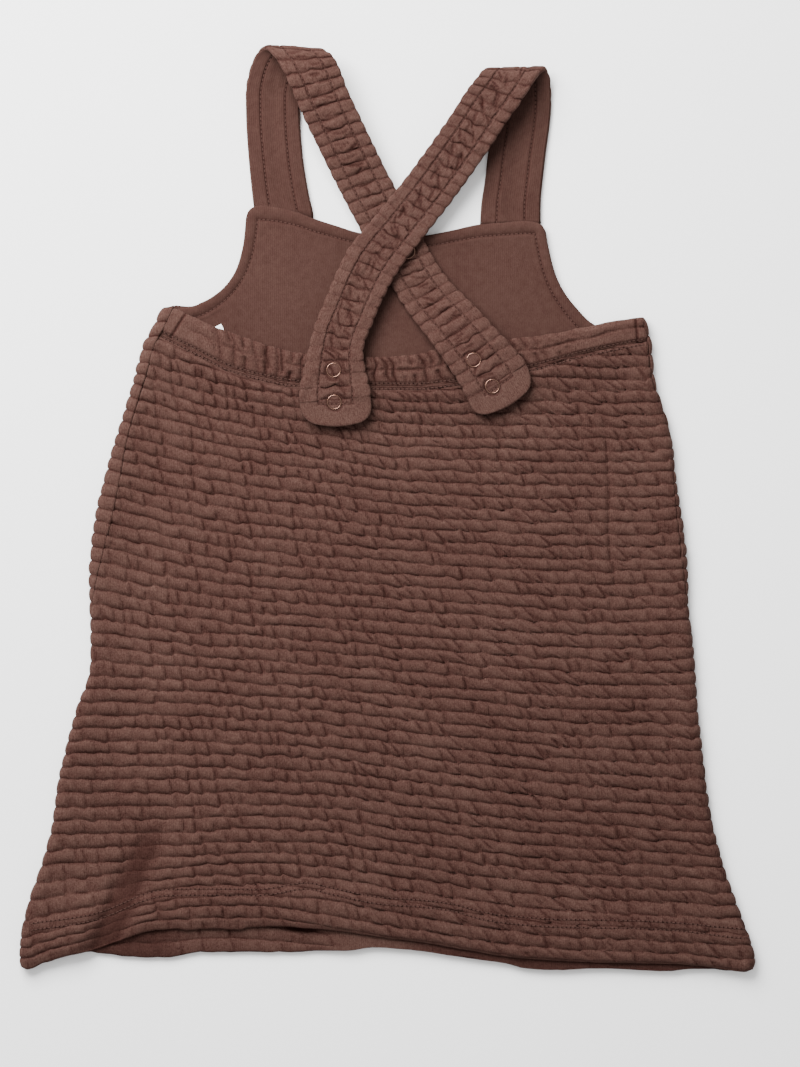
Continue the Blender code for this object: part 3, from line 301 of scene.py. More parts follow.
# ---- bib ----
BIB_TOP = (  # x, y along its upper edge
    (-87.4, 179.6), (-86.2, 183.2), (-83.6, 185.8), (-79.0, 187.3), (-71.2, 186.6), (-55.6, 183.2),
    (-45.1, 179.0), (-31.0, 174.4), (-16.3, 170.0), (2.0, 167.8), (21.7, 168.4), (39.0, 171.4),
    (57.3, 175.4), (72.3, 176.8), (86.0, 177.8), (93.0, 176.6), (96.6, 174.2), (98.4, 171.0),
)
LEFT_ARMHOLE = (  # x, y down its left edge to the side seam
    (-87.4, 179.6), (-88.7, 165.8), (-90.5, 156.6), (-93.6, 147.2), (-99.6, 137.9),
    (-109.6, 129.6), (-118.6, 125.4),
)
RIGHT_ARMHOLE = (  # x, y down its right edge
    (98.4, 171.0), (99.2, 165.8), (101.1, 156.6), (103.5, 147.2), (107.0, 138.4),
    (112.4, 129.6), (120.0, 120.6),
)
WAIST = (  # x, y of the front panel's upper edge beyond the bib
    (-139.0, 124.0), (-118.6, 125.0), (-60.0, 122.0), (60.0, 119.0), (112.4, 124.0), (120.0, 118.6),
    (128.3, 113.4), (135.5, 112.0), (143.0, 113.6), (151.0, 116.2), (160.0, 117.6),
)
LEFT_SEAM_RUN = ((-126.0, 123.8), (-132.5, 122.4))  # the lining's edge runs on to the side seams
RIGHT_SEAM_RUN = ((125.0, 115.8), (130.0, 112.4))
WAIST_LINE = -4  # number that the front panel's waist takes among the quilting lines
BIB_ROWS = 44
LINING_INSET = 0.2  # the lining stops this far inside the front panel's edge
LINING_UNDER = 8.0  # how far the lining reaches under the waist casing
LINING_FOOT = (-121.0, 124.0)  # x of its ends under the casing
LINING_ROWS, LINING_MIDDLE = 96, 150
BAND_OFFSETS = (0.0, 0.3, 0.8, 1.6, 2.7, 3.9, 5.1, 6.2, 7.0, 7.6, 8.2, 9.0, 10.0)
BAND_STITCHES = 9  # the offset among them that carries the topstitching
BAND_SECTION = (  # offset across the topstitched band, height there
    (0.0, 0.8), (0.4, 1.3), (1.4, 1.75), (3.5, 1.95), (5.8, 1.6), (7.0, 1.0), (7.6, 0.72),
    (8.2, 1.0), (9.4, 1.3), (11.0, 1.2),
)

# ---- straps ----
# Sections along each strap, from the bib to the free end, at the face between its quilted
# side and its lining: centre x y z, width, turn of the section from X in degrees.
STRAP_COLUMNS = ("x", "y", "z", "width", "turn")
LEFT_STRAP = (
    (-63.9, 183.2, 2.55, 36.8, -2.0),
    (-66.0, 194.5, 2.55, 35.2, -1.0),
    (-69.3, 221.0, 2.55, 33.6, 0.0),
    (-70.6, 241.0, 2.55, 33.4, 0.0),
    (-70.8, 254.0, 3.0, 33.4, -1.0),
    (-68.2, 268.4, 5.2, 34.0, -4.0),
    (-63.0, 278.8, 8.6, 34.6, -6.0),
    (-58.0, 282.2, 12.4, 34.8, -4.0),
    (-52.6, 279.0, 15.6, 33.6, 4.0),
    (-48.0, 272.6, 16.8, 32.2, 14.0),
    (-44.0, 264.6, 16.6, 31.8, 21.5),
    (-39.8, 253.8, 15.6, 31.4, 25.0),
    (-26.8, 226.2, 12.0, 31.2, 25.5),
    (-12.6, 197.8, 8.0, 31.0, 26.5),
    (7.2, 161.6, 6.4, 31.0, 28.0),
    (17.6, 142.8, 6.2, 31.0, 30.5),
    (27.6, 128.4, 7.0, 32.2, 36.0),
    (41.2, 112.8, 10.4, 35.0, 38.0),
    (51.8, 99.6, 11.7, 37.0, 38.0),
    (62.0, 86.4, 11.6, 40.0, 38.0),
    (67.8, 77.4, 11.0, 42.4, 36.0),
    (72.2, 68.8, 10.6, 42.6, 32.0),
    (75.0, 64.2, 10.5, 42.4, 30.0),
)
RIGHT_STRAP = (
    (76.4, 176.4, 2.55, 37.6, 0.0),
    (76.8, 188.0, 2.55, 36.8, 0.0),
    (78.6, 203.0, 2.55, 35.8, 0.0),
    (80.6, 220.4, 2.55, 35.8, 0.0),
    (82.8, 236.0, 2.55, 35.8, 1.0),
    (84.2, 250.0, 3.2, 35.0, 3.0),
    (83.8, 262.6, 6.0, 34.6, 5.0),
    (80.8, 269.4, 10.0, 34.4, 3.0),
    (76.6, 267.8, 14.0, 33.2, -6.0),
    (72.0, 261.6, 16.6, 32.0, -17.0),
    (67.4, 255.4, 17.4, 31.2, -25.0),
    (62.2, 248.4, 17.0, 31.0, -32.0),
    (50.2, 230.0, 15.0, 31.0, -33.0),
    (27.4, 198.4, 12.6, 31.0, -34.0),
    (10.0, 176.2, 11.9, 31.0, -36.0),
    (-10.2, 149.8, 11.9, 33.0, -31.0),
    (-23.6, 120.8, 11.1, 32.4, -22.0),
    (-29.8, 104.4, 11.6, 32.6, -15.0),
    (-31.6, 92.4, 11.8, 35.0, -7.0),
    (-32.0, 80.0, 11.7, 40.4, -3.0),
    (-32.0, 70.6, 11.3, 44.0, -1.0),
    (-31.6, 63.2, 10.9, 44.2, 1.0),
    (-30.8, 56.4, 10.6, 43.8, 2.0),
    (-30.4, 51.4, 10.5, 43.4, 2.0),
)
STRAPS = {  # what differs between the two
    "left": dict(table=LEFT_STRAP, crinkle=0.8, seed=61, lean=1.0, slant=0.15, outer_ribs=0.35),
    "right": dict(table=RIGHT_STRAP, crinkle=1.35, seed=71, lean=-0.9, slant=0.95, outer_ribs=0.0),
}
STRAP_RIB = 7.7  # spacing of the ribs across a strap
STRAP_FLAT = 2.4  # quilted side where the strap lies face down
STRAP_CROWN = 2.7
STRAP_BORDER_RIBS = (  # part of its length, strength of the ribs outside its stitched lines
    (0.25, 0.9), (0.45, 0.8), (0.6, 0.45), (0.8, 0.25), (0.93, 0.12),
)
STRAP_SCALLOP = 2.0  # how far the ribs swell its edges
STRAP_EDGE, LINING_STRAP_EDGE, END_EDGE = 2.4, 1.6, 2.6  # radii of the rounded edges
LINING_EDGE = 0.028  # part of its width by which the lining stops short of each edge
STRAP_TUCK = 0.7  # how far a strap's end runs in under the bib's edge
STRAP_VALLEY = 1.1
CRINKLED = 7.6  # half width of its crinkled middle
BORDER = 13.5  # plain border at a strap's free end
BORDER_THICKNESS = 2.0
BORDER_EASE = 3.0  # the ribs end over this width at the border
LINE_SECTION = (1.15, 1.5)  # half width of a stitched line's groove and its power
GROOVE_SUNK, END_LINE_SUNK, STUD_SUNK, CRINKLE_SUNK = 0.34, 0.3, 0.3, 0.95
END_LINE_WIDTH, STITCHING_ENDS = 0.7, 0.8  # of the line across the end, and of where the long ones end
CENTRE_EDGE = 0.04  # part of the width over which the crinkled middle begins
STITCHED = (0.26, 0.74)  # places across a strap of its two stitched lines
LINING_STITCHED = (0.27, 0.73)
LOOSE_FROM, LOOSE_TO = 62.0, 84.0  # way along a strap over which it leaves the surface
STRAP_PHASES = (0.0, 0.06, 0.14, 0.26, 0.38, 0.5, 0.62, 0.74, 0.86, 0.94)  # rows over one rib
STRAP_SPOTS = (0.0, 0.006, 0.016, 0.032, 0.054, 0.08, 0.11, 0.14, 0.17, 0.2, 0.225, 0.24, 0.251, 0.26,
               0.269, 0.28, 0.297, 0.317, 0.337, 0.357, 0.377, 0.397, 0.417, 0.437, 0.458, 0.479, 0.5)
END_LINE = 12.8  # from a strap's free end to the stitched line across it
END_ROUNDING = 12.0  # the free end's corners are rounded over this length
END_BULGE = 1.6  # how far its end bows out
END_FLAT = 0.52  # part of the width that stays flat at the free end
STRAP_STITCHES = 13  # the place among STRAP_SPOTS that carries a stitched line

# ---- press studs, label and thread ----
STUD_TURNS = 56
STUD_SEAT = STRAP_VALLEY + 0.75  # thickness of the cloth pressed flat under a stud
STUD_SINK = 0.45  # how far a ring's foot sinks into it
STUD_MARK = 5.1  # radius of the mark pressed round a ring
STUD_PROFILE = (  # out from the ring's middle, height: the section of the rolled ring
    (4.72, 0.0), (4.72, 0.26), (4.62, 0.5), (4.42, 0.68), (4.2, 0.74), (4.0, 0.68), (3.86, 0.5),
    (3.8, 0.26), (3.78, 0.0),
)
STUDS = (  # name, strap, way along it from its free end, way across from its middle
    ("press_stud_left_end_low", "right", 13.8, -0.8),
    ("press_stud_left_end_high", "right", 33.4, -1.0),
    ("press_stud_right_end_low", "left", 14.6, -3.6),
    ("press_stud_right_end_high", "left", 34.6, -3.9),
    ("press_stud_crossing", "left", 113.8, 3.5),
)
LABEL_CORNER = (-102.6, 113.6)  # the corner that looks out above the casing
LABEL_LENGTH = 20.0
LABEL_WIDTH = 8.0
LABEL_TURN = 206.0  # direction of its long side from X, degrees
LABEL_THICKNESS, LABEL_WAVE = 0.35, 0.1
LABEL_ABOVE = 1.3  # how far it lies over the lining's underside
LABEL_CURL = 0.7  # how far its free corner bends up
TWIN_ABOVE, TWIN_BELOW = 1.5, 2.0  # the casing's two rows lie so far above and below its foot
STITCH, WAIST_STITCH = 2.7, 2.6  # from one stitch to the next
TWIN_ENDS = {"thread_waist": (-139.0, 160.0), "thread_hem": (-221.0, 222.0)}  # x of each row's ends
STITCH_HALF = 1.3  # half the length of one stitch
STITCH_RINGS = (  # part of that half, radius, shade: a bow of thread between two dimples
    (-1.04, 0.528, 1.0), (-0.86, 0.66, 1.0), (-0.74, 0.3, 0.1), (0.0, 0.3, 0.0), (0.74, 0.3, 0.1),
    (0.86, 0.66, 1.0), (1.04, 0.528, 1.0),
)
THREAD_SIDES = 6
THREAD_DIVE = 0.36  # how far a stitch's ends go down into the cloth
THREAD_ABOVE = 0.1  # how high a stitch lies on the cloth
LEAST_THREAD_HEIGHT = 1.5  # no stitches are made on the side that lies on the surface
STITCH_STEP = 2.5  # no stitch is laid where the cloth jumps up by more than this under it

# ---- stage, in metres ----
FLOOR_REACH, FLOOR_HEIGHT = 6.0, -0.0004
ROOM_LIGHT = 0.87  # even light from all round
LIGHTS = (  # name, place, size, watts; both look at the middle of the dress
    ("high_window", (-0.52, 0.82, 0.95), (1.1, 0.9), 77.0),
    ("soft_fill", (-0.22, 0.62, 2.3), (2.4, 2.4), 14.0),
)
CAMERA_HEIGHT = 3.2
SENSOR = 36.0  # of the camera, in millimetres
FRAMED_HEIGHT = 0.6615
CAMERA_OVER = (0.00796, -0.0133)  # the point it looks straight down on


# ---- curves ----
def to_frame(points):
    """Points of the drawing in the frame, in metres."""
    return (np.asarray(points, float) - CENTRE) * METRES


def spline(xs, ys, x):
    """A smooth curve through points, never past them between two, straight beyond its ends.

    ys may hold a row of heights for each of xs, and x is then a single number.
    """
    xs, ys, x = np.asarray(xs, float), np.asarray(ys, float), np.asarray(x, float)
    chords = np.diff(ys, axis=0) / np.diff(xs).reshape((-1,) + (1,) * (ys.ndim - 1))
    same_way = chords[1:] * chords[:-1] > 0
    sums = np.where(same_way, chords[1:] + chords[:-1], 1.0)
    inner = np.where(same_way, 2 * chords[1:] * chords[:-1] / sums, 0.0)
    slopes = np.concatenate((chords[:1], inner, chords[-1:]))
    i = np.clip(np.searchsorted(xs, x) - 1, 0, len(xs) - 2)
    width = xs[i + 1] - xs[i]
    t = (x - xs[i]) / width
    within = np.clip(t, 0.0, 1.0)
    rise = (3 - 2 * within) * within ** 2
    bow = slopes[i] * (1 - within) - slopes[i + 1] * within
    curve = ys[i] * (1 - rise) + ys[i + 1] * rise + width * within * (1 - within) * bow
    return curve + width * (np.minimum(t, 0) * slopes[i] + np.maximum(t - 1, 0) * slopes[i + 1])


def smooth(points):
    """The spline y(x) through points."""
    xs, ys = np.array(points, float).T
    return lambda x: spline(xs, ys, x)


def lengths(points):
    """Way along a run of points to each of them."""
    return np.concatenate(([0.0], np.cumsum(np.linalg.norm(np.diff(points, axis=0), axis=1))))


def along(points):
    """A curve through points, taken by its length: place(ways), the whole length and its ways."""
    points = np.array(points, float)
    ways = lengths(points)
    return (lambda way: stacked(*(spline(ways, axis, way) for axis in points.T))), ways[-1], ways


def from_line(x, y, x0, y0, x1, y1):
    """Way along a straight line from x0 y0 to x1 y1, distance off it, and its length."""
    long = math.hypot(x1 - x0, y1 - y0)
    ax, ay = (x1 - x0) / long, (y1 - y0) / long
    return (x - x0) * ax + (y - y0) * ay, (x - x0) * -ay + (y - y0) * ax, long


def ease(t):
    """From 0 to 1 with level ends."""
    t = np.clip(t, 0.0, 1.0)
    return t * t * (3 - 2 * t)


def between(x, start, stop):
    """From 0 at start to 1 at stop, with level ends."""
    return ease((x - start) / (stop - start))


def bump(t):
    """1 at 0, dying away to either side."""
    return np.exp(-np.square(t))


def dent(distance, reach, power=1.0):
    """1 at no distance, 0 from the reach on; a power over 1 makes it sharper."""
    return np.clip(1 - distance / reach, 0, 1) ** power


def rounded_edge(distance, radius):
    """Height of a rounded edge from 0 to 1, at a distance in from it."""
    return np.sqrt(np.clip(1 - (1 - distance / radius).clip(0, 1) ** 2, 0, 1))


def unevenness(x, y, seed):
    """Soft unevenness from -1 to 1, in unit cells of x and y."""
    x, y = np.broadcast_arrays(np.asarray(x, float), np.asarray(y, float))
    values = np.random.default_rng(seed).uniform(-1, 1, (CELLS, CELLS))
    i, j = np.floor(x).astype(int), np.floor(y).astype(int)
    u, v = ease(x - i), ease(y - j)
    near, far = [values[(i + a) % CELLS, j % CELLS] * (1 - v) + values[(i + a) % CELLS, (j + 1) % CELLS] * v
                 for a in (0, 1)]
    return near * (1 - u) + far * u


def layered(layers, x, line, seed):
    """Layers of soft unevenness over x and the lines, added up."""
    return sum(amount * unevenness(x / wide, line * stir, seed + own) for amount, wide, stir, own in layers)


def stacked(*values):
    """Values side by side along a new last axis, such as the x, y and z of points."""
    return np.stack(values, axis=-1)


def column(table, names, name):
    """The named column of a table."""
    place = names.index(name)
    return [row[place] for row in table]


def every(step, count):
    """Every so many of a count, and the last one."""
    return [*range(0, count - 1, step), count - 1]


# ---- shells of cloth ----
def grid_quads(numbers):
    """Quads between the neighbours of a grid of vertex numbers."""
    return stacked(numbers[:-1, :-1], numbers[:-1, 1:], numbers[1:, 1:], numbers[1:, :-1])


def quad_list(numbers):
    """The same quads as a plain list."""
    return grid_quads(numbers).reshape(-1, 4).tolist()


def cut_shell(outer, inner, is_cloth=None):
    """Points and faces of a closed wall between two like grids, where is_cloth says for each cell."""
    rows, columns = outer.shape[:2]
    numbers = np.arange(rows * columns).reshape(rows, columns)
    upper, lower = grid_quads(numbers), grid_quads(numbers + rows * columns)
    kept = np.ones((rows - 1, columns - 1), bool) if is_cloth is None else is_cloth
    faces = [upper[kept], lower[kept][:, ::-1]]
    padded = np.pad(kept, 1)
    for up, right, start, stop in ((0, 1, 0, 1), (1, 0, 3, 0), (2, 1, 2, 3), (1, 2, 1, 2)):
        beside = padded[up:up + rows - 1, right:right + columns - 1]
        top, foot = upper[kept & ~beside], lower[kept & ~beside]
        faces.append(stacked(top[:, stop], top[:, start], foot[:, start], foot[:, stop]))
    points = np.concatenate((outer.reshape(-1, 3), inner.reshape(-1, 3)))
    used, faces = np.unique(np.concatenate(faces), return_inverse=True)
    return points[used], faces.reshape(-1, 4).tolist(), used


def border(table):
    """The run of entries round the edge of a table."""
    return np.concatenate((table[0, :-1], table[:-1, -1], table[-1, :0:-1], table[::-1, 0]))


def fanned_shell(outer, inner, inner_rows, inner_columns):
    """Points and faces of a closed wall whose inner face keeps only some rows and columns."""
    rows, columns = outer.shape[:2]
    chosen = np.ix_(inner_rows, inner_columns)
    numbers = np.arange(rows * columns).reshape(rows, columns)
    below = rows * columns + np.arange(len(inner_rows) * len(inner_columns))
    below = below.reshape(len(inner_rows), len(inner_columns))
    lower = np.full((rows, columns), -1)
    lower[chosen] = below
    faces = quad_list(numbers) + [face[::-1] for face in quad_list(below)]
    upper_run, lower_run = border(numbers), border(lower)
    marks = np.nonzero(lower_run >= 0)[0]
    for start, stop in zip(marks, marks[1:]):
        turn = (start + stop + 1) // 2
        for k in range(start, stop):
            foot = lower_run[start if k < turn else stop]
            faces.append([upper_run[k + 1], upper_run[k], foot])
        faces.append([lower_run[stop], upper_run[turn], lower_run[start]])
    points = np.concatenate((outer.reshape(-1, 3), inner[chosen].reshape(-1, 3)))
    kept = np.concatenate((numbers.ravel(), rows * columns + numbers[chosen].ravel()))
    return points, faces, kept


def make_piece(name, points, faces, material, weave=None, shade=None):
    """A mesh object of the dress, with its weave's coordinates and its shaded creases."""
    mesh = bpy.data.meshes.new(name)
    mesh.from_pydata(to_frame(points), [], faces)
    mesh.calc_loop_triangles()
    triangles = np.empty(len(mesh.loop_triangles) * 3, np.int32)
    mesh.loop_triangles.foreach_get("vertices", triangles)
    corners = to_frame(points)[triangles.reshape(-1, 3)]
    if np.einsum("ij,ij->i", corners[:, 0], np.cross(corners[:, 1], corners[:, 2])).sum() < 0:
        mesh.flip_normals()
    mesh.shade_smooth()
    for key, kind, what, values in (("weave", "FLOAT_VECTOR", "vector", weave),
                                    ("shade", "FLOAT", "value", shade)):
        if values is not None:
            layer = mesh.attributes.new(key, kind, "POINT")
            layer.data.foreach_set(what, np.ascontiguousarray(values, np.float32).ravel())
    mesh.materials.append(material)
    piece = bpy.data.objects.new(name, mesh)
    bpy.context.scene.collection.objects.link(piece)
    return piece


def make_wall(name, shell, material, across, down, shade=None, under_shade=None):
    """A piece of cloth from a shell; its weave runs across and down, its inner face is shaded apart."""
    points, faces, kept = shell
    weave = stacked(across, down, 0 * across).reshape(-1, 3)
    if shade is not None:
        under_shade = 0 * shade if under_shade is None else under_shade
        shade = np.concatenate((shade.ravel(), under_shade.ravel()))[kept]
    return make_piece(name, points, faces, material, np.concatenate((weave, weave))[kept], shade)


# ---- the laid-out skirt ----
def depth_to_way(depth):
    """Way along the cloth from a fold's outer edge, for a depth in from that edge."""
    on_turn = FOLD_RADIUS * np.arccos(1 - np.clip(depth, 0.0, FOLD_RADIUS) / FOLD_RADIUS)
    return np.where(depth < FOLD_RADIUS, on_turn, QUARTER + depth - FOLD_RADIUS)


def way_to_depth(way):
    """Depth in from a fold's outer edge, for a way along the cloth from it."""
    way = np.abs(way)
    on_turn = FOLD_RADIUS * (1 - np.cos(np.minimum(way, QUARTER) / FOLD_RADIUS))
    return np.where(way < QUARTER, on_turn, FOLD_RADIUS + way - QUARTER)


class Side:
    """One side of the laid skirt: its fold's edge x(y), its seam, and which way is inward."""

    def __init__(self, name, inward):
        heights = column(SIDES, SIDES_COLUMNS, "y")
        self.edge, self.seam = [
            smooth(sorted(zip(heights, column(SIDES, SIDES_COLUMNS, name + "_" + what))))
            for what in ("edge", "seam")]
        self.inward = inward

    def settle(self, line, way):
        """Where a line y(x) meets the places given ways over the cloth from the edge: x and y."""
        x = self.edge(line(self.edge(np.zeros_like(way))))
        for _ in range(SETTLING):
            x = self.edge(line(x)) + self.inward * way_to_depth(way)
        return x, line(x)

    def seam_way(self, line):
        """How far over the fold the side seam lies where a line crosses it."""
        way = np.zeros(1)
        for _ in range(SEAM_SETTLING):
            way = self.seam(self.settle(line, way)[1])
        return float(way[0])

    def depth(self, x, y):
        """Depth of places in from the fold's outer edge."""
        return (x - self.edge(y)) * self.inward

    def on_fold(self, y, way, above):
        """Points on the fold, above its inner face."""
        radius = INNER_RADIUS + above
        x = self.edge(y) + self.inward * (FOLD_RADIUS - radius * np.cos(way / FOLD_RADIUS))
        return stacked(x, y + 0 * x, FOLD_RADIUS + radius * np.sin(way / FOLD_RADIUS))


left_side, right_side = Side("left", 1), Side("right", -1)
back_hem, front_hem = smooth(BACK_HEM), smooth(FRONT_HEM)
hem_stitch, hem_twin = smooth(HEM_STITCH), smooth(HEM_TWIN)
casing_top, casing_stitch = smooth(CASING_TOP), smooth(CASING_STITCH)
waist, bib_top = smooth(WAIST), smooth(BIB_TOP)
quilting_lines = [(number, smooth(list(zip(STATIONS, heights)))) for number, heights in QUILTING]


def line_height(number, x, hem, last):
    """Height Y of a numbered quilting line at x; the last one is the given hem edge."""
    if number <= LAST_LINE:
        curves = np.array([curve(x) for _, curve in quilting_lines])
        return spline([line for line, _ in quilting_lines], curves, number)
    parts, left, right = zip(*HEM_RIBS)
    part = (number - LAST_LINE) / (last - LAST_LINE)
    to_right = between(x, *HEM_RIBS_CHANGE)
    part = np.interp(part, parts, left) * (1 - to_right) + np.interp(part, parts, right) * to_right
    return quilting_lines[-1][1](x) * (1 - part) + hem(x) * part


def back_line(number):
    """A quilting line y(x) of the back panel, kept below the casing's stitching."""
    squeezed = LEAST_RIB * (number - TOP_LINE) + TOP_OPEN
    stretch = ease((TOP_LINE + 2 - number) / 2)

    def line(x):
        short = casing_stitch(x) - TOP_OPEN - line_height(TOP_LINE, x, back_hem, HEM_LINE)
        drawn = np.minimum(line_height(number, x, back_hem, HEM_LINE), casing_stitch(x) - squeezed)
        return drawn + stretch * np.maximum(short, 0.0)

    return line


def front_line(number):
    """A line y(x) of the front panel: above the third quilting line it fans out to the waist."""
    third = QUILTING[0][0]
    if number >= third:
        return lambda x: line_height(number, x, front_hem, FRONT_HEM_LINE)
    part = (number - WAIST_LINE) / (third - WAIST_LINE)
    return lambda x: waist(x) * (1 - part) + line_height(third, x, front_hem, FRONT_HEM_LINE) * part


def back_lift(x, y):
    """Height of the back panel's underside where it is past the side folds."""
    depth = np.minimum(left_side.depth(x, y), right_side.depth(x, y))
    beside = 1 - ease((depth - FOLD_RADIUS) / FOLD_SLOPE)
    below = 1 - ease((casing_stitch(x) - y) / WAIST_SLOPE)
    high, low = np.maximum(beside, below), np.minimum(beside, below)
    raised = high + CORNER_LIFT * low * (1 - high)
    over_hem = HEM_TURN * (1 - ease((y - front_hem(x) - HEM_DEPTH - HEM_LAP) / HEM_EASE))
    (at_x, at_y), (wide, long) = CORNER_PUFF, CORNER_PUFF_SPREAD
    puff = CORNER_PUFF_HEIGHT * bump(np.hypot((x - at_x) / wide, (y - at_y) / long))
    puff = np.maximum(puff - PUFF_PRESSED * trough_depth(x, y), 0.0)
    return LAID_HEIGHT + (FOLD_HEIGHT - LAID_HEIGHT) * raised + (over_hem + puff) * (1 - beside)


# ---- quilted ribs ----
def rib_section(phase):
    """Height of a rib from one quilting line to the next, from 0 to 1."""
    power, fullness = RIB_ROUNDNESS
    return (1 - np.abs(2 * phase - 1) ** power) ** fullness


def crease_spacing(x, y):
    """Usual distance between the creases of a rib: close at the waist, wider to the hem and sides."""
    reach, growth = SPACING_TO_HEM
    spacing = CREASE_SPACING + growth * ease((casing_stitch(x) - y) / reach)
    for start, stop, growth in (SPACING_TO_RIGHT, SPACING_TO_LEFT):
        spacing += growth * between(x, start, stop)
    return spacing


def crease_lean(x):
    """How far a crease runs to the right from the top of its rib to the bottom."""
    lean = CREASE_LEAN
    for start, stop, growth in LEAN_GROWS:
        lean = lean + growth * between(x, start, stop)
    return lean


class Creases:
    """The short creases that break up one rib.

    Their places are where they cross the middle of the rib's height; what else they have is
    named and drawn as CREASE_DRAWN says.
    """

    def __init__(self, rib, row_x, row_y, seed, rib_above=None):
        draw = np.random.default_rng((seed, rib + 100))
        places = [row_x[0] + draw.uniform(*FIRST_CREASE)]
        while places[-1] < row_x[-1]:
            height = float(np.interp(places[-1], row_x, row_y))
            spacing = crease_spacing(places[-1], height) * draw.uniform(*SPACING_DRAWN)
            places.append(places[-1] + max(LEAST_SPACING, spacing))
        self.places = np.array(places[:-1])
        count = len(self.places)
        self.lean, self.bend, self.depth, self.start, self.stop, self.reach = [
            draw.uniform(least, most, count) for least, most in CREASE_DRAWN.values()]
        self.lean *= crease_lean(self.places)
        start, stop, lost = FAINTER_LEFT
        self.depth *= 1 - lost * between(self.places, start, stop)
        runs_on = draw.uniform(size=count) < CREASE_RUNS_ON
        if rib_above is not None:
            self.join(rib_above.at(1.0), runs_on)
        self.press(np.interp(self.places, row_x, row_y), draw)
        order = np.argsort(self.places)
        self.places = self.places[order]
        for name in CREASE_DRAWN:
            setattr(self, name, getattr(self, name)[order])

    def join(self, ends, runs_on):
        """Creases that run on move to begin where the nearest one of the rib above ends."""
        nearest = np.clip(np.searchsorted(ends, self.places), 1, len(ends) - 1)
        nearest -= self.places - ends[nearest - 1] < ends[nearest] - self.places
        joined = ends[nearest] + self.lean * 0.5 ** self.bend
        close = runs_on & (np.abs(joined - self.places) < JOIN_REACH)
        self.places = np.where(close, joined, self.places)
        self.start = np.where(close, -1.0, self.start)

    def press(self, heights, draw):
        """The crease nearest to each pressed line moves on to it and runs through the rib."""
        for x0, y0, x1, y1, strength in PRESSED_LINES:
            at = x0 + (x1 - x0) * (y0 - heights) / (y0 - y1)
            k = int(np.argmin(np.abs(self.places - at)))
            if y1 < heights[k] < y0:
                self.places[k] = at[k] + draw.uniform(-PRESSED_STRAY, PRESSED_STRAY)
                self.lean[k] = draw.uniform(*PRESSED_LEAN)
                self.depth[k] = strength * draw.uniform(*PRESSED_DEPTH)
                self.start[k], self.stop[k] = -1.0, CREASE_DRAWN["stop"][1]

    def at(self, phase):
        """Where each crease crosses that height of the rib."""
        return self.places + self.lean * (phase ** self.bend - 0.5 ** self.bend)

    def strength(self, phase):
        """How deep each crease is at that height of the rib, from 0 to about 1."""
        growing = CREASE_AT_TOP + CREASE_GROWS * phase
        return (self.depth * growing * ease((phase - self.start) / CREASE_FADE)
                * ease((self.stop - phase) / CREASE_FADE))

    def sag(self, x):
        """How far the quilting line under this rib hangs below its place, puff by puff."""
        ends = self.at(1.0)
        order = np.argsort(ends)
        reaches = self.stop > 0.95
        ends, depth = ends[order], (self.depth * reaches)[order]
        deep = SAG * depth * np.clip(np.diff(ends, prepend=ends[0] - USUAL_PUFF) / USUAL_PUFF, 0.3, 1.2)
        spots = np.maximum.accumulate(stacked(ends - 0.5, ends + 0.7).ravel())
        return np.interp(x, spots, stacked(deep, 0 * deep).ravel())


def banked(spots, beside):
    """Spots with a bank to either side of each, as one run."""
    return np.repeat(spots, 3) + np.tile((-beside, 0, beside), len(spots))


def pucker(rows_x, phases, creases, margin):
    """Draw a rib's columns on to its creases: columns taken at each row, crease depth, cell fullness."""
    count = rows_x.shape[1]
    columns = np.arange(count, dtype=float)
    middle = rows_x[len(rows_x) // 2]
    spots = np.interp(creases.places, middle, columns)
    kept, last = [], margin
    for k, spot in enumerate(spots):
        if last + CREASE_COLUMNS < spot < count - margin - 2:
            kept.append(k)
            last = round(spot)
    pitch = np.interp(creases.places, middle, np.gradient(middle))
    ends = [0.0, margin / 2], [count - 1 - margin / 2, count - 1.0]
    known = np.concatenate((ends[0], banked(np.round(spots[kept]), 1), ends[1]))
    taken, rows = [], []
    for row_x, phase in zip(rows_x, phases):
        shift = (creases.at(phase) - creases.places) / pitch
        wanted = banked(np.maximum.accumulate(spots[kept] + shift[kept]), CREASE_BESIDE)
        wanted = np.clip(np.maximum.accumulate(wanted), margin / 2 + 0.5, count - 1.5 - margin / 2)
        drawn = np.interp(columns, known, np.concatenate((ends[0], wanted, ends[1])))
        near = np.clip(min(phase, 1 - phase) / LINE_CLEARANCE, 0.0, 1.0)
        drawn = columns + (drawn - columns) * near
        taken.append(drawn)
        rows.append(crease_row(np.interp(drawn, columns, row_x), phase, creases))
    deep, full = zip(*rows)
    return np.array(taken), np.array(deep), np.array(full)


def crease_row(x, phase, creases):
    """Depth of the creases' lines, and of the hollows beside them, at a row of points."""
    crossings = creases.at(phase)
    order = np.argsort(crossings)
    at = np.concatenate(([-FAR], crossings[order], [FAR]))
    power = np.concatenate(([0.0], creases.strength(phase)[order], [0.0]))
    reach = np.concatenate(([1.0], creases.reach[order], [1.0]))
    i = np.clip(np.searchsorted(at, x), 1, len(at) - 1)
    before, after = x - at[i - 1], at[i] - x
    sharp = np.maximum(power[i - 1] * dent(before, reach[i - 1], CREASE_SHARPNESS),
                       power[i] * dent(after, reach[i], CREASE_SHARPNESS))
    cell = np.clip(at[i] - at[i - 1], *CELL_WIDTHS)
    soft = (FAINT_HOLLOW + (1 - FAINT_HOLLOW) * power) * (power > 0)
    hollow = 0.0
    for kind, strength, off in ((HOLLOW_PAST, soft[i - 1], before), (HOLLOW_BEFORE, soft[i], after)):
        depth, narrow, sharpness, at_top, growth = kind
        hollow = hollow + depth * strength * dent(narrow * off, cell, sharpness) * (at_top + growth * phase)
    return sharp, hollow


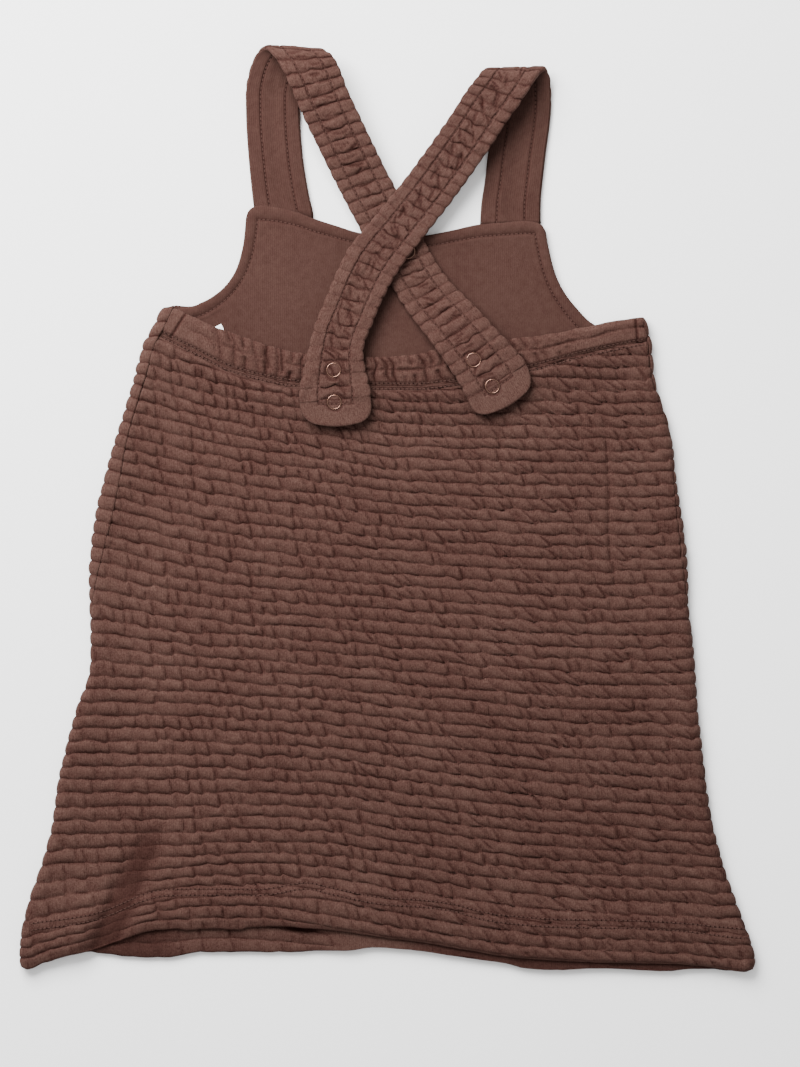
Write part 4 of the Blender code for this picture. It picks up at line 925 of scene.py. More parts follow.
def take_columns(rows, taken):
    """Rows of values read between their columns."""
    columns = np.arange(rows.shape[1])
    return np.array([np.interp(spots, columns, row) for row, spots in zip(rows, taken)])


class RibbedCloth:
    """A panel's grid of points: places on the laid skirt, rib numbers, relief and shade."""

    def __init__(self, base, base_numbers, numbers, seed, margin=6):
        at = np.interp(numbers, base_numbers, np.arange(len(base_numbers)))
        low = np.minimum(at.astype(int), len(base) - 2)
        part = (at - low)[:, None, None]
        rows = base[low] * (1 - part) + base[low + 1] * part
        self.x, self.y, self.way = rows[..., 0], rows[..., 1], rows[..., 2]
        self.seed = seed
        self.numbers = np.asarray(numbers, float)
        self.rib = np.floor(self.numbers + WHOLE)[:, None]
        self.phase = self.numbers[:, None] - self.rib
        sharp, hollow, creases = self.crease_ribs(margin)
        self.hang_lines(creases)
        self.raise_ribs(sharp, hollow)

    def crease_ribs(self, margin):
        """Break up every rib: depth of creases and hollows at the points, and creases by rib."""
        sharp, hollow = np.zeros_like(self.x), np.zeros_like(self.x)
        creases, by_rib = None, {}
        for rib in range(int(self.numbers[0]), int(self.numbers[-1])):
            chosen = np.nonzero((self.numbers > rib + WHOLE) & (self.numbers < rib + 1 - WHOLE))[0]
            if len(chosen) < 3:
                continue
            middle = chosen[len(chosen) // 2]
            creases = Creases(rib, self.x[middle], self.y[middle], self.seed, creases)
            by_rib[rib] = creases
            phases = self.phase[chosen, 0]
            taken, sharp[chosen], hollow[chosen] = pucker(self.x[chosen], phases, creases, margin)
            for grid in (self.x, self.y, self.way):
                grid[chosen] = take_columns(grid[chosen], taken)
        return sharp, hollow, by_rib

    def hang_lines(self, creases):
        """Let the quilting lines stray, and sag under the puffs, less where ribs are squeezed."""
        pitch = np.abs(np.gradient(self.y, axis=0) / np.gradient(self.numbers)[:, None])
        none, to_full, least = SQUEEZED
        self.squeeze = np.clip((pitch - none) / to_full, least, 1.0)
        self.y = self.y + self.squeeze * (self.stray(creases, 0) * (1 - self.phase)
                                          + self.stray(creases, 1) * self.phase)

    def stray(self, creases, below):
        """How far up the quilting line over each point strays, or the one below it."""
        line = self.rib + below
        sags = []
        for row, rib in zip(self.x, line[:, 0].astype(int) - 1):
            share = min(1.0, (self.numbers[-1] - 1 - rib) / HEM_SETTLES)
            sags.append(creases[rib].sag(row) * share if rib in creases else 0 * row)
        return layered(LINE_STRAY, self.x, line, self.seed) - np.array(sags)

    def raise_ribs(self, sharp, hollow):
        """Work out the ribs' relief from 0 to 1, the fill of their valleys, and the shade."""
        section = rib_section(self.phase)
        puffed = 1 + layered(RIB_FULLNESS, self.x, self.rib, self.seed)
        left = (1 - CREASE_DEPTH * sharp - CELL_ROUNDING * np.minimum(hollow, 1.2)).clip(LEAST_RELIEF)
        self.relief = section * puffed * left * self.squeeze
        valley = dent(np.minimum(self.phase, 1 - self.phase), VALLEY_WIDTH)
        wide, stir, own = VALLEY_LAYER
        line = self.rib + (self.phase > 0.5)
        faint = VALLEY_SHADE + VALLEY_UNEVEN * unevenness(self.x / wide, line * stir, self.seed + own)
        self.valley_fill = VALLEY_FILL * (1 - faint) * (1 - section)
        # painted shade: quilting lines, sharp creases and the hollows beside them
        self.shade = np.maximum.reduce((valley * faint, CREASE_SHADE * sharp ** 1.15 * section ** 0.3,
                                        SOFT_SHADE * np.clip(hollow, 0, 1) * section ** 0.5))


def rib_numbers(first, last, phases=RIB_PHASES):
    """Numbers of the rows of points over ribs, and of the last quilting line."""
    return [rib + phase for rib in range(first, last) for phase in phases] + [float(last)]


def twin_needle(x, y):
    """Depth of the hem's two rows of stitching, from 0 to 1."""
    off, gap = y - hem_stitch(x), hem_twin(x)
    return bump((off - gap / 2) / TWIN_WIDTH) + bump((off + gap / 2) / TWIN_WIDTH)


def hem_gap(x, y):
    """How much of the opening between the two hems is at a place, from 0 to 1."""
    (at_x, at_y), (wide, high) = HEM_GAP, HEM_GAP_REACH
    return ease(1.6 - 1.6 * np.hypot((x - at_x) / wide, (y - at_y) / high))


def trough_depth(x, y):
    """Depth of the soft troughs at places of the skirt."""
    total = np.zeros_like(x)
    for *line, width, depth in TROUGHS:
        way, off, long = from_line(x, y, *line)
        past = np.maximum(0.0, np.maximum(-way, way - long)) / (2 * width)
        total += depth * bump(off / width) * bump(past)
    return total


def back_row(line):
    """Places across the back panel where a line crosses it: x, y and way over the nearer side."""
    ends = []
    for side in (left_side, right_side):
        first = side.seam_way(line) + SIDE_SEAM_OPEN
        ways = first + (SIDE_REACH - first) * np.linspace(0, 1, SIDE_COLUMNS)
        ends.append(stacked(*side.settle(line, ways), ways))
    share = (np.arange(1, BACK_MIDDLE + 1) / (BACK_MIDDLE + 1))[:, None]
    middle = ends[0][-1] * (1 - share) + ends[1][-1] * share
    middle[:, 1] = line(middle[:, 0])
    return np.concatenate((ends[0], middle, ends[1][::-1]))


def back_relief(cloth, valley, crown, trough):
    """Height of the back panel's outside above its underside."""
    x, y = cloth.x, cloth.y
    in_hem = 1 - ease((y - back_hem(x) - HEM_DEPTH) / HEM_STEP)
    above = valley + (crown - valley) * (cloth.relief + cloth.valley_fill) + HEM_RISE * in_hem
    ridge = RIDGE_SHARE * bump((y - hem_stitch(x)) / HEM_RIDGE)
    above = above * (1 - ridge) + (valley + RIDGE_HEIGHT * (crown - valley) + HEM_RISE) * ridge
    above -= TWIN_DEPTH * twin_needle(x, y)
    thinned = 0.5 + 0.5 * ease((HEM_LINE - cloth.numbers[:, None]) / HEM_TAPER)
    above = LEAST_CLOTH + (above - LEAST_CLOTH) * thinned
    in_foot = bump((y - casing_stitch(x) + TWIN_BELOW) / FOOT_WIDTH)
    above -= FOOT_DEPTH * in_foot * np.clip(above - LEAST_CLOTH, 0, 1)
    above -= np.minimum(trough, TROUGH_LIMIT * above)
    above[-1] = HEM_EDGE
    return above


def halves(columns):
    """Each side of the skirt with its half of so many columns."""
    return (left_side, slice(0, columns // 2)), (right_side, slice(columns // 2, None))


def make_back(sizes, material):
    """Skirt back, quilted across, from the casing to its hem."""
    valley, crown = sizes.valley / METRES, sizes.crown / METRES
    base_numbers = np.arange(TOP_LINE, HEM_LINE + BASE_STEP / 2, BASE_STEP)
    base = np.array([back_row(back_line(number)) for number in base_numbers])
    cloth = RibbedCloth(base, base_numbers, rib_numbers(TOP_LINE, HEM_LINE), seed=11)
    x, y, way = cloth.x, cloth.y, cloth.way
    trough = trough_depth(x, y)
    above = back_relief(cloth, valley, crown, trough)
    stretched = ease(1 - way / QUARTER) * (EDGE_VALLEY - valley)
    on_edge = np.minimum(above, crown) + stretched * (1 - (above - valley) / (crown - valley)).clip(0, 1)
    over_gap = bump((x - HEM_GAP[0]) / (0.8 * HEM_GAP_REACH[0])) * ease((HEM_LIFT_BELOW - y) / 20.0)
    low = back_lift(x, y) + HEM_GAP_LIFT * over_gap
    outer, inner = stacked(x, y, low + above), stacked(x, y, low)
    for side, run in halves(x.shape[1]):
        turned = (way[:, run] < QUARTER)[..., None]
        for face, raised in ((outer, on_edge[:, run]), (inner, 0.0)):
            face[:, run] = np.where(turned, side.on_fold(y[:, run], way[:, run], raised), face[:, run])
    rows = [k for k, number in enumerate(cloth.numbers) if number == int(number)]
    columns = sorted({*range(0, SIDE_COLUMNS, 2), *range(SIDE_COLUMNS, x.shape[1], BACK_UNDERSIDE),
                      x.shape[1] - 1})
    # painted shade: quilting lines and creases, the hem's twin rows and the soft troughs
    shade = np.maximum.reduce((cloth.shade, TWIN_SHADE * twin_needle(x, y).clip(0, 1),
                               TROUGH_SHADE * (trough / TROUGH_FULL).clip(0, 1)))
    return make_wall("skirt_back", fanned_shell(outer, inner, rows, columns), material,
                     x, 0 * x - cloth.numbers[:, None] * RIB_PITCH, shade)


def front_row(line):
    """Places across the front panel where a line crosses it: x, y and way over the nearer fold."""
    wraps, bib = [], []
    for side, depth in ((left_side, BIB_FROM_LEFT), (right_side, BIB_FROM_RIGHT)):
        ways = np.linspace(side.seam_way(line) - SIDE_SEAM_OPEN, -QUARTER, WRAP_COLUMNS)
        wraps.append(stacked(*side.settle(line, ways), ways))
        bib.append(side.settle(line, np.array([QUARTER + depth - FOLD_RADIUS]))[0][0])
    left, right = wraps
    marks = [left[-1, 0], *bib, right[-1, 0]]
    x = np.concatenate([np.linspace(start, stop, count + 1)[1:]
                        for start, stop, count in zip(marks, marks[1:], FRONT_FLAT)])[:-1]
    flat = stacked(x, line(x), np.full_like(x, -QUARTER - 1))
    return np.concatenate((left, flat, right[::-1]))


def front_faces(cloth, crown):
    """The outer and inner face of the skirt front, its sides folded up and over."""
    x, y, way = cloth.x, cloth.y, cloth.way
    showing = ease((way + SHOWS_FROM) / SHOWS_FROM)
    ribs = EDGE_VALLEY + (crown - EDGE_VALLEY) * (cloth.relief + cloth.valley_fill)
    above = CLOTH + showing * (ribs - CLOTH)
    under = groove_under(cloth.phase) * ease((-QUARTER - 0.5 - way) / 0.5)
    turned_up = ease((HEM_DEPTH + front_hem(x) - y) / HEM_STEP)
    pucker_left = STRIP_PUCKER * (1 - cloth.relief) * (1 - between(x, HEM_PRESSED_FROM, HEM_PRESSED_TO))
    strip = CLOTH + turned_up * (HEM_TURN - pucker_left) - HEM_GAP_SUNK * hem_gap(x, y)
    outer, inner = stacked(x, y, under), stacked(x, y, strip)
    for side, run in halves(x.shape[1]):
        here = way[:, run]
        turned = (here >= -QUARTER - WHOLE)[..., None]
        on_top = (here > QUARTER)[..., None]
        for face, raised in ((outer, above[:, run]), (inner, 0.0 * here)):
            folded = np.where(turned, side.on_fold(y[:, run], here, raised), face[:, run])
            level = stacked(x[:, run], y[:, run], FOLD_HEIGHT + raised)
            face[:, run] = np.where(on_top, level, folded)
    return outer, inner


def groove_under(phase):
    """Depth of the quilting lines in the pressed underside."""
    return GROOVE * (1 - rib_section(phase)) ** 1.5


def bib_places(first, last, columns):
    """x and y of the bib's rows of points; columns from the first to the last lie in its width."""
    left_arm, right_arm = [smooth(sorted((y, x) for x, y in edge))
                           for edge in (LEFT_ARMHOLE, RIGHT_ARMHOLE)]
    share = (np.clip(np.arange(columns), first, last) - first) / (last - first)
    rows = []
    for part in np.linspace(1, 0, BIB_ROWS, endpoint=False):
        across = np.zeros_like(share)
        for _ in range(ARMHOLE_SETTLING):
            edge = bib_top(np.clip(across, BIB_TOP[0][0], BIB_TOP[-1][0]))
            height = waist(across) * (1 - part) + edge * part
            across = left_arm(height) * (1 - share) + right_arm(height) * share
        rows.append((across, height))
    return np.array(rows).transpose(1, 0, 2)


def make_front(sizes, material):
    """Skirt front and bib cut in one, its left side folded up and over to the side seam."""
    base_numbers = np.arange(WAIST_LINE, FRONT_HEM_LINE + BASE_STEP / 2, BASE_STEP)
    base = np.array([front_row(front_line(number)) for number in base_numbers])
    numbers = rib_numbers(WAIST_LINE, FRONT_ROWS_FROM, HIDDEN_PHASES)[:-1]
    numbers += rib_numbers(FRONT_ROWS_FROM, FRONT_HEM_LINE)
    cloth = RibbedCloth(base, base_numbers, numbers, seed=37, margin=WRAP_COLUMNS)
    x, y = cloth.x, cloth.y
    outer, inner = front_faces(cloth, sizes.crown / METRES)
    first = WRAP_COLUMNS - 1 + FRONT_FLAT[0]
    last = first + FRONT_FLAT[1]
    bib_x, bib_y = bib_places(first, last, x.shape[1])
    grooved = groove_under((bib_y / RIB_PITCH) % 1.0)
    outer = np.concatenate((stacked(bib_x, bib_y, grooved), outer))
    inner = np.concatenate((stacked(bib_x, bib_y, 0 * bib_x + CLOTH), inner))
    cells = np.ones((outer.shape[0] - 1, outer.shape[1] - 1), bool)
    cells[:BIB_ROWS, :first] = cells[:BIB_ROWS, last:] = False
    pressed = between(x, HEM_PRESSED_FROM, HEM_PRESSED_TO)
    # painted shadow on the front's hem where the back's hem overhangs it and in the gap between them, with
    # painted shade in its creases
    overhung = STRIP_SHADE * np.maximum(between(x, *STRIP_DARK_RIGHT), between(x, *STRIP_DARK_LEFT))
    strip_shade = np.maximum.reduce((cloth.shade * (1 - pressed), hem_gap(x, y), overhung))
    return make_wall("skirt_front_and_bib", cut_shell(outer, inner, cells), material,
                     np.concatenate((bib_x, x)), np.concatenate((bib_y, y)),
                     *(np.concatenate((0 * bib_x, face)) for face in (cloth.shade, strip_shade)))


# ---- waist casing ----
def gather_creases():
    """Creases of the gathers: way along, lean, from and to height, depth and width of each."""
    draw = np.random.default_rng(23)
    rows = []
    for low in (True, False):
        way, last = GATHERS
        while way < last:
            full = float(between(way, 18.0, 58.0) * (1 - 0.75 * between(way, 225.0, 255.0)))
            lean = draw.uniform(-0.2, 0.12) - 0.45 * float(between(way, 130.0, 190.0))
            through = draw.uniform() < GATHER_THROUGH
            if low:
                span = (-2.0, 19.0 if through else draw.uniform(6.0, 10.0))
            else:
                span = (3.0 if through else draw.uniform(6.5, 11.0), 22.0)
            rows.append((way, lean, *span, full * draw.uniform(0.35, 1.0), draw.uniform(1.1, 2.0)))
            way += draw.uniform(*GATHER_STEP) + 5.0 * (1 - full)
    return rows


def gather_relief(way, high):
    """Sharp creases and the rounding of the puffs between them, at ways along and heights up."""
    sharp, rounding = np.zeros_like(way), np.zeros_like(way)
    bend = 1.6 * unevenness(way / 9.0, high / 6.0, 33)
    up = high - GATHER_PIVOT
    for at, lean, start, stop, depth, reach in gather_creases():
        near = np.abs(way - at - lean * up - 0.035 * up * np.abs(up) * lean - bend)
        strength = depth * ease((high - start) / 2.5) * ease((stop - high) / 2.5)
        sharp = np.maximum(sharp, strength * dent(near, reach, 1.4))
        rounding = np.maximum(rounding, strength ** 0.6 * dent(near, 4.4, 1.5))
    off_line = np.abs(high - GATHER_LINE - 1.1 * unevenness(way / 14.0, 0 * way, 35))
    faint = between(way, 14.0, 24.0) * (0.42 + 0.3 * unevenness(way / 9.0, 0 * way, 37))
    sharp = np.maximum(sharp, faint * dent(off_line, 1.5, 1.4))
    return sharp, np.maximum(rounding, faint * dent(off_line, 4.0, 2))


def casing_places(parts):
    """x and y of the casing's points, in rows at parts of its height from one side seam to the other."""
    rows = []
    for part in parts:
        def line(x, part=part):
            return casing_stitch(x) * (1 - part) + casing_top(x) * part

        left, right = [side.settle(line, np.array([side.seam_way(line) + SIDE_SEAM_OPEN]))[0][0]
                       for side in (left_side, right_side)]
        x = left + (right - left) * np.linspace(0, 1, CASING_COLUMNS)
        rows.append((x, line(x)))
    return np.array(rows).transpose(1, 0, 2)


def make_casing(sizes, material):
    """Elastic casing along the back waist, gathered, closed along its foot by a twin needle."""
    even = np.linspace(0, 1, CASING_ROWS)
    parts = ease(even) * 0.35 + even * 0.65
    x, y = casing_places(parts)
    part = parts[:, None] + 0 * x
    way, high = x - x[0, 0], part * CASING_HEIGHT
    sharp, rounding = gather_relief(way, high)
    soft = layered(CASING_SOFTNESS, way, high, 0) * ease(part / 0.2)
    dents = 1 - sizes.gather_depth * (0.5 * sharp + 0.8 * rounding)
    above = 0.9 + (spline(*np.array(CASING_SECTION).T, part) - 0.9 + soft) * dents
    tacked = np.maximum(*(bump(from_line(x, y, *ends)[1] / TACK_WIDTH) for ends in TACKS))
    above -= np.minimum(TACK_DEPTH * tacked, above * 0.5)
    pinched = bump((y - casing_stitch(x) - TWIN_ABOVE) / TWIN_WIDTH)
    above -= (0.3 + 0.15 * unevenness(way / 1.35, 0 * way, 47)) * pinched * np.clip(above - 1.0, 0, 1)
    y = y - 1.1 * sharp * between(part, 0.6, 1.0) + 0.35 * unevenness(way / 6.0, 0 * way, 49) * part ** 3
    depth = right_side.depth(x, y)
    faces = []
    for raised in (above, 0.0 * above):
        level = stacked(x, y, FOLD_HEIGHT + raised)
        on_turn = right_side.on_fold(y, depth_to_way(depth), raised)
        faces.append(np.where((depth < FOLD_RADIUS)[..., None], on_turn, level))
    fine = CASING_COLUMNS - CASING_FINE
    columns = [*range(0, fine, 6), *range(fine + 1, CASING_COLUMNS)]
    # painted shade in the gathers' creases and hollows, at the tacks and along the stitched foot
    shade = np.maximum.reduce((0.98 * sharp, 0.75 * tacked, 0.15 * pinched, SOFT_SHADE * rounding ** 0.6))
    shell = fanned_shell(*faces, every(4, CASING_ROWS), columns)
    return make_wall("waist_gathers", shell, material, x, y, shade)


# ---- bib lining ----
def lining_grid():
    """Places of the bib lining's points and each one's distance from its topstitched edges."""
    offsets = np.array(BAND_OFFSETS)
    left_edge, left_length, _ = along(LEFT_ARMHOLE + LEFT_SEAM_RUN)
    right_edge, right_length, _ = along(RIGHT_ARMHOLE + RIGHT_SEAM_RUN)
    parts = offsets / left_length
    parts = np.concatenate((parts, np.linspace(parts[-1], 1, LINING_ROWS)[1:]))
    sides = []
    for place, length, sign in ((left_edge, left_length, 1), (right_edge, right_length, -1)):
        ways = parts * length
        forward = place(ways + 0.5) - place(ways - 0.5)
        forward /= np.linalg.norm(forward, axis=1, keepdims=True)
        inward = stacked(-forward[:, 1], forward[:, 0]) * sign
        sides.append(place(ways)[:, None] + inward[:, None] * (LINING_INSET + offsets)[None, :, None])
    left, right = sides
    blend = (np.arange(1, LINING_MIDDLE) / LINING_MIDDLE)[None, :, None]
    middle = left[:, -1:] * (1 - blend) + right[:, -1:] * blend
    grid = np.concatenate((left, middle, right[:, ::-1]), axis=1)
    raised = bib_top(grid[0, :, 0]) - LINING_INSET - grid[0, :, 1]
    grid[..., 1] += raised[None, :] * (1 - parts[:, None]) ** 1.5
    from_side = np.concatenate((offsets, np.full(LINING_MIDDLE - 1, FAR), offsets[::-1]))
    return grid, np.minimum(from_side[None, :], (parts * left_length)[:, None])


def make_lining(material, thread):
    """Plain jersey lining of the bib, its edge rolled inside the topstitched band."""
    grid, from_edge = lining_grid()
    x, y = grid[..., 0], grid[..., 1]
    field = between(from_edge, 8.0, 16.0)
    height = spline(*np.array(BAND_SECTION).T, np.minimum(from_edge, BAND_SECTION[-1][0]))
    height = height + field * 0.3 * unevenness(x / 23.0, y / 31.0, 51)
    height = height + field * 0.1 * unevenness(x / 7.0, y / 12.0, 53)
    pulls = unevenness(x / 4.5, y / 4.5, 57) + 0.6 * unevenness(x / 2.2, y / 2.2, 59)
    height = height + (1 - field) * 0.17 * pulls * ease(from_edge / 2.0)
    # painted shade along the topstitched line
    shade = 0.6 * bump((from_edge - BAND_OFFSETS[BAND_STITCHES]) / 0.5)
    k = BAND_STITCHES
    grid = stacked(x, y, LAID_HEIGHT + height)
    seam = np.concatenate((grid[:k:-1, k], grid[k, k:-k - 1], grid[k:, -k - 1]))
    centres, forwards = sew_along(seam, STITCH)
    foot_x = np.clip(x[-1], *LINING_FOOT)
    foot_y = np.minimum(casing_top(foot_x) - LINING_UNDER, y[-1] - 1.0)
    share = np.linspace(0, 1, 8)[1:, None]
    x, y, height = [np.concatenate((values, values[-1] * (1 - share) + foot * share))
                    for values, foot in ((x, foot_x), (y, foot_y), (height, JERSEY))]
    shade = np.pad(shade, ((0, len(share)), (0, 0)))
    faces = [stacked(x, y, LAID_HEIGHT + raised) for raised in (height, 0 * height)]
    shell = fanned_shell(*faces, every(5, x.shape[0]), every(6, x.shape[1]))
    piece = make_wall("bib_inside", shell, material, x, y, shade)
    shown = centres[:, 1] > casing_top(centres[:, 0]) - 2.0
    upward = np.tile((0.0, 0.0, 1.0), (shown.sum(), 1))
    return piece, make_thread("thread_bib", centres[shown], forwards[shown], upward, thread)


def sew_along(path, pitch):
    """Middles and directions of the stitches sewn along a run of points."""
    path = np.asarray(path, float)
    ways = lengths(path)
    middles = np.arange(pitch / 2, ways[-1] - pitch / 2, pitch)
    before, middle, after = [stacked(*(np.interp(middles + shift, ways, axis) for axis in path.T))
                             for shift in (-STITCH_HALF * 0.8, 0.0, STITCH_HALF * 0.8)]
    return (before + after) / 4 + middle / 2, after - before


# ---- straps ----
class Strap:
    """A strap's middle face: points at any way along it from the bib and place across it."""

    STEP = 0.25

    def __init__(self, which):
        table, self.crinkle, self.seed, self.lean, self.slant, self.outer_ribs = STRAPS[which].values()
        self.which = which
        place, self.length, ways = along(list(zip(*(column(table, STRAP_COLUMNS, axis) for axis in "xyz"))))
        self.ways = np.append(np.arange(0.0, self.length, self.STEP), self.length)
        self.width, turn = [spline(ways, column(table, STRAP_COLUMNS, name), self.ways)
                            for name in ("width", "turn")]
        self.centre = place(self.ways)
        forward = place(self.ways + 0.5) - place(self.ways - 0.5)
        turn = np.radians(turn)
        self.across = stacked(np.cos(turn), np.sin(turn), 0 * turn)
        outward = np.cross(forward, self.across)
        self.outward = outward / np.linalg.norm(outward, axis=-1, keepdims=True)

    def read(self, values, way):
        """Values known along the strap, read at other ways along it."""
        return stacked(*(np.interp(way, self.ways, axis) for axis in values.T))

    def width_at(self, way):
        """Width at a way along the strap, its free end's corners rounded off."""
        past = np.clip(1 - (self.length - way) / END_ROUNDING, 0, 1)
        rounding = END_FLAT + (1 - END_FLAT) * (1 - past ** 2.2) ** 0.5
        return np.interp(way, self.ways, self.width) * rounding

    def points(self, way, part, height, wider=0.0):
        """Points at parts of the width, at heights above the middle face, as grids."""
        off = (self.width_at(way) + wider) * (part - 0.5)
        across, outward = self.read(self.across, way), self.read(self.outward, way)
        point = self.read(self.centre, way) + across * off[..., None] + outward * height[..., None]
        at_seam = bib_top(point[..., 0]) - STRAP_TUCK + np.maximum(way, 0.0) * 0.3
        point[..., 1] = np.where(way < 12.0, np.maximum(point[..., 1], at_seam), point[..., 1])
        point[0, :, 1] = at_seam[0]
        forward = np.cross(across, outward)
        round_end = END_BULGE * (1 - (2 * part - 1) ** 2) * ease(1 - (self.length - way) / END_ROUNDING)
        return point + forward * round_end[..., None]


def strap_rows(strap):
    """Ways along a strap of its rows, and each one's phase over its rib."""
    ribs = int((strap.length - LOOSE_FROM) / STRAP_RIB)
    pitch = (strap.length - LOOSE_FROM) / ribs
    plain = np.linspace(0, LOOSE_FROM, 42)[:-1]
    ribbed = np.array([LOOSE_FROM + pitch * (rib + phase) for rib in range(ribs) for phase in STRAP_PHASES])
    ways = np.concatenate((plain, ribbed, [strap.length]))
    return ways, (ways - LOOSE_FROM) / pitch


def strap_parts(edge=0.0):
    """Places across a strap of its columns."""
    half = np.array(STRAP_SPOTS)
    return edge + np.concatenate((half, 1 - half[-2::-1])) * (1 - 2 * edge)


def stitched_groove(part, width, places):
    """Depth, from 0 to 1, of the two long stitched lines."""
    return np.maximum(*(dent(np.abs(part - place) * width, *LINE_SECTION) for place in places))


def crinkles(strap, way, off):
    """Short creases inside the stitched middle of a strap: depth from 0 to 1."""
    draw = np.random.default_rng(strap.seed)
    deep, spot = np.zeros_like(way), LOOSE_FROM + 6
    while spot < strap.length - BORDER - 2:
        slant = draw.normal(0.0, 0.35) + strap.slant
        middle, long = draw.uniform(-CRINKLED * 0.75, CRINKLED * 0.75), draw.uniform(3.0, 8.5)
        ax, ay = math.sin(slant), math.cos(slant)
        along_it, beside = (way - spot) * ax + (off - middle) * ay, (way - spot) * ay - (off - middle) * ax
        beside += 0.05 * draw.uniform(-1, 1) * along_it ** 2
        past = np.maximum(0, np.abs(along_it) - long * 0.5) / 1.1
        line = draw.uniform(0.35, 1.0) * dent(np.abs(beside), draw.uniform(0.9, 1.7), 1.3)
        deep = np.maximum(deep, line * bump(past))
        spot += draw.uniform(1.6, 6.0) / strap.crinkle
    return deep


class QuiltedSide:
    """The points of a strap's quilted side: where they are along it, across it and on its ribs."""

    def __init__(self, strap, lean):
        ways, ribs = strap_rows(strap)
        self.strap = strap
        self.way, self.part = np.meshgrid(ways, strap_parts(), indexing="ij")
        self.number = np.floor(ribs + WHOLE)[:, None] + 0 * self.part
        self.phase = np.clip(ribs[:, None] - self.number, 0, 1)
        self.section = rib_section(self.phase)
        self.width = strap.width_at(self.way)
        self.off = (self.part - 0.5) * self.width
        self.from_end = strap.length - self.way
        self.loose = between(self.way, LOOSE_FROM, LOOSE_TO)
        self.bordered = between(self.from_end, BORDER + BORDER_EASE, BORDER)
        self.free = self.loose * (1 - self.bordered)
        self.centre = ease((0.5 - np.abs(self.part - 0.5) - STITCHED[0]) / CENTRE_EDGE)
        line = self.number + self.phase
        crinkled = strap.crinkle * unevenness(self.off / 6.0, line * 1.7, strap.seed)
        stray = (crinkled * (0.25 + 0.75 * self.centre)
                 + 0.6 * unevenness(self.off / 3.0, line * 2.9, strap.seed + 1))
        drawn = self.way + self.free * (stray + lean * self.off * strap.lean)
        self.moved = np.clip(np.maximum.accumulate(drawn, axis=0), 0, strap.length)
        outer_ribs = np.interp(self.way / strap.length, *zip(*STRAP_BORDER_RIBS))
        outer_ribs = outer_ribs + strap.outer_ribs * (1 - outer_ribs)
        self.strength = ((outer_ribs + (1 - outer_ribs) * self.centre)
                         * (0.8 + 0.3 * unevenness(self.off / 5.0, self.number * 1.9, strap.seed + 5)))
        self.cells = crinkles(strap, self.moved, self.off) * self.free * self.centre
        self.groove = (stitched_groove(self.part, self.width, STITCHED) * self.loose
                       * ease((self.from_end - END_LINE + STITCHING_ENDS) / STITCHING_ENDS))
        self.end_line = bump((self.from_end - END_LINE) / END_LINE_WIDTH) * (np.abs(self.part - 0.5) < 0.25)

    def thickness(self):
        """Thickness of the ribs, the flat start and the border, without stitches and studs."""
        fullness = (1 + 0.16 * unevenness(self.off / 8.0, self.number * 3.1, self.strap.seed + 2)
                    + 0.14 * unevenness(self.off / 3.4, self.way / 3.1, self.strap.seed + 3))
        risen = 1 - (1 - self.section) * self.strength
        ribbed = STRAP_VALLEY + (STRAP_CROWN * fullness - STRAP_VALLEY) * risen - CRINKLE_SUNK * self.cells
        loose = ribbed * (1 - self.bordered) + BORDER_THICKNESS * self.bordered
        return STRAP_FLAT * (1 - self.loose) + self.loose * loose

    def relief(self):
        """Height over the strap's middle face, and the marks that its studs press round them."""
        thick = self.thickness()
        marks = np.zeros_like(thick)
        for _, which, stud_end, stud_off in STUDS:
            if which == self.strap.which:
                out = np.hypot(self.from_end - stud_end, self.off - stud_off)
                marks = np.maximum(marks, dent(np.abs(out - STUD_MARK), 1.0))
                under = ease((STUD_MARK + 0.1 - out) / 1.4)
                thick = thick * (1 - under) + STUD_SEAT * under
        sunk = np.maximum.reduce((GROOVE_SUNK * self.groove, END_LINE_SUNK * self.end_line,
                                  STUD_SUNK * marks))
        sides = rounded_edge(np.minimum(self.part, 1 - self.part) * self.width, STRAP_EDGE)
        end = rounded_edge(self.from_end, END_EDGE)
        rounded = (0.25 + 0.75 * sides) * (0.25 + 0.75 * end)
        return 0.5 + (thick * (1 - sunk) - 0.5).clip(0.1) * rounded, marks

    def shade(self, marks):
        """Painted shade: how dark the quilting lines, crinkles, stitches and stud marks show."""
        valley = dent(np.minimum(self.phase, 1 - self.phase), 0.1) * self.free * self.strength ** 1.3
        drawn = 0.52 + 0.3 * unevenness(self.way / 4.0, self.part * 9.0, self.strap.seed + 9)
        soft = SOFT_SHADE * (1 - self.section) * self.free * self.strength
        return np.maximum.reduce((valley, self.cells, soft, drawn * self.groove,
                                  self.end_line * 0.6, marks * 0.75))


def strap_wall(name, faces, material, off, way, shade):
    """One side of a strap, from the grids of its outer and inner face."""
    shell = fanned_shell(*faces, every(5, way.shape[0]), every(4, way.shape[1]))
    return make_wall(name, shell, material, off, way, shade)


def make_strap_outside(strap, sizes, material):
    """The quilted side of a strap: ribs across, two stitched lines, crinkled puffs between."""
    side = QuiltedSide(strap, sizes.strap_lean)
    thick, marks = side.relief()
    swell = 0.8 + 0.5 * unevenness(side.number * 1.3, side.part * 2, strap.seed + 8)
    scallop = STRAP_SCALLOP * (side.section - 0.55) * side.free * swell
    outer = strap.points(side.moved, side.part, SEAM_GAP / 2 + thick, scallop)
    inner = strap.points(side.moved, side.part, SEAM_GAP / 2 + 0 * thick, scallop * 0.7)
    name = "quilted_side_" + strap.which
    return strap_wall(name, (outer, inner), material, side.off, side.moved, side.shade(marks)), outer


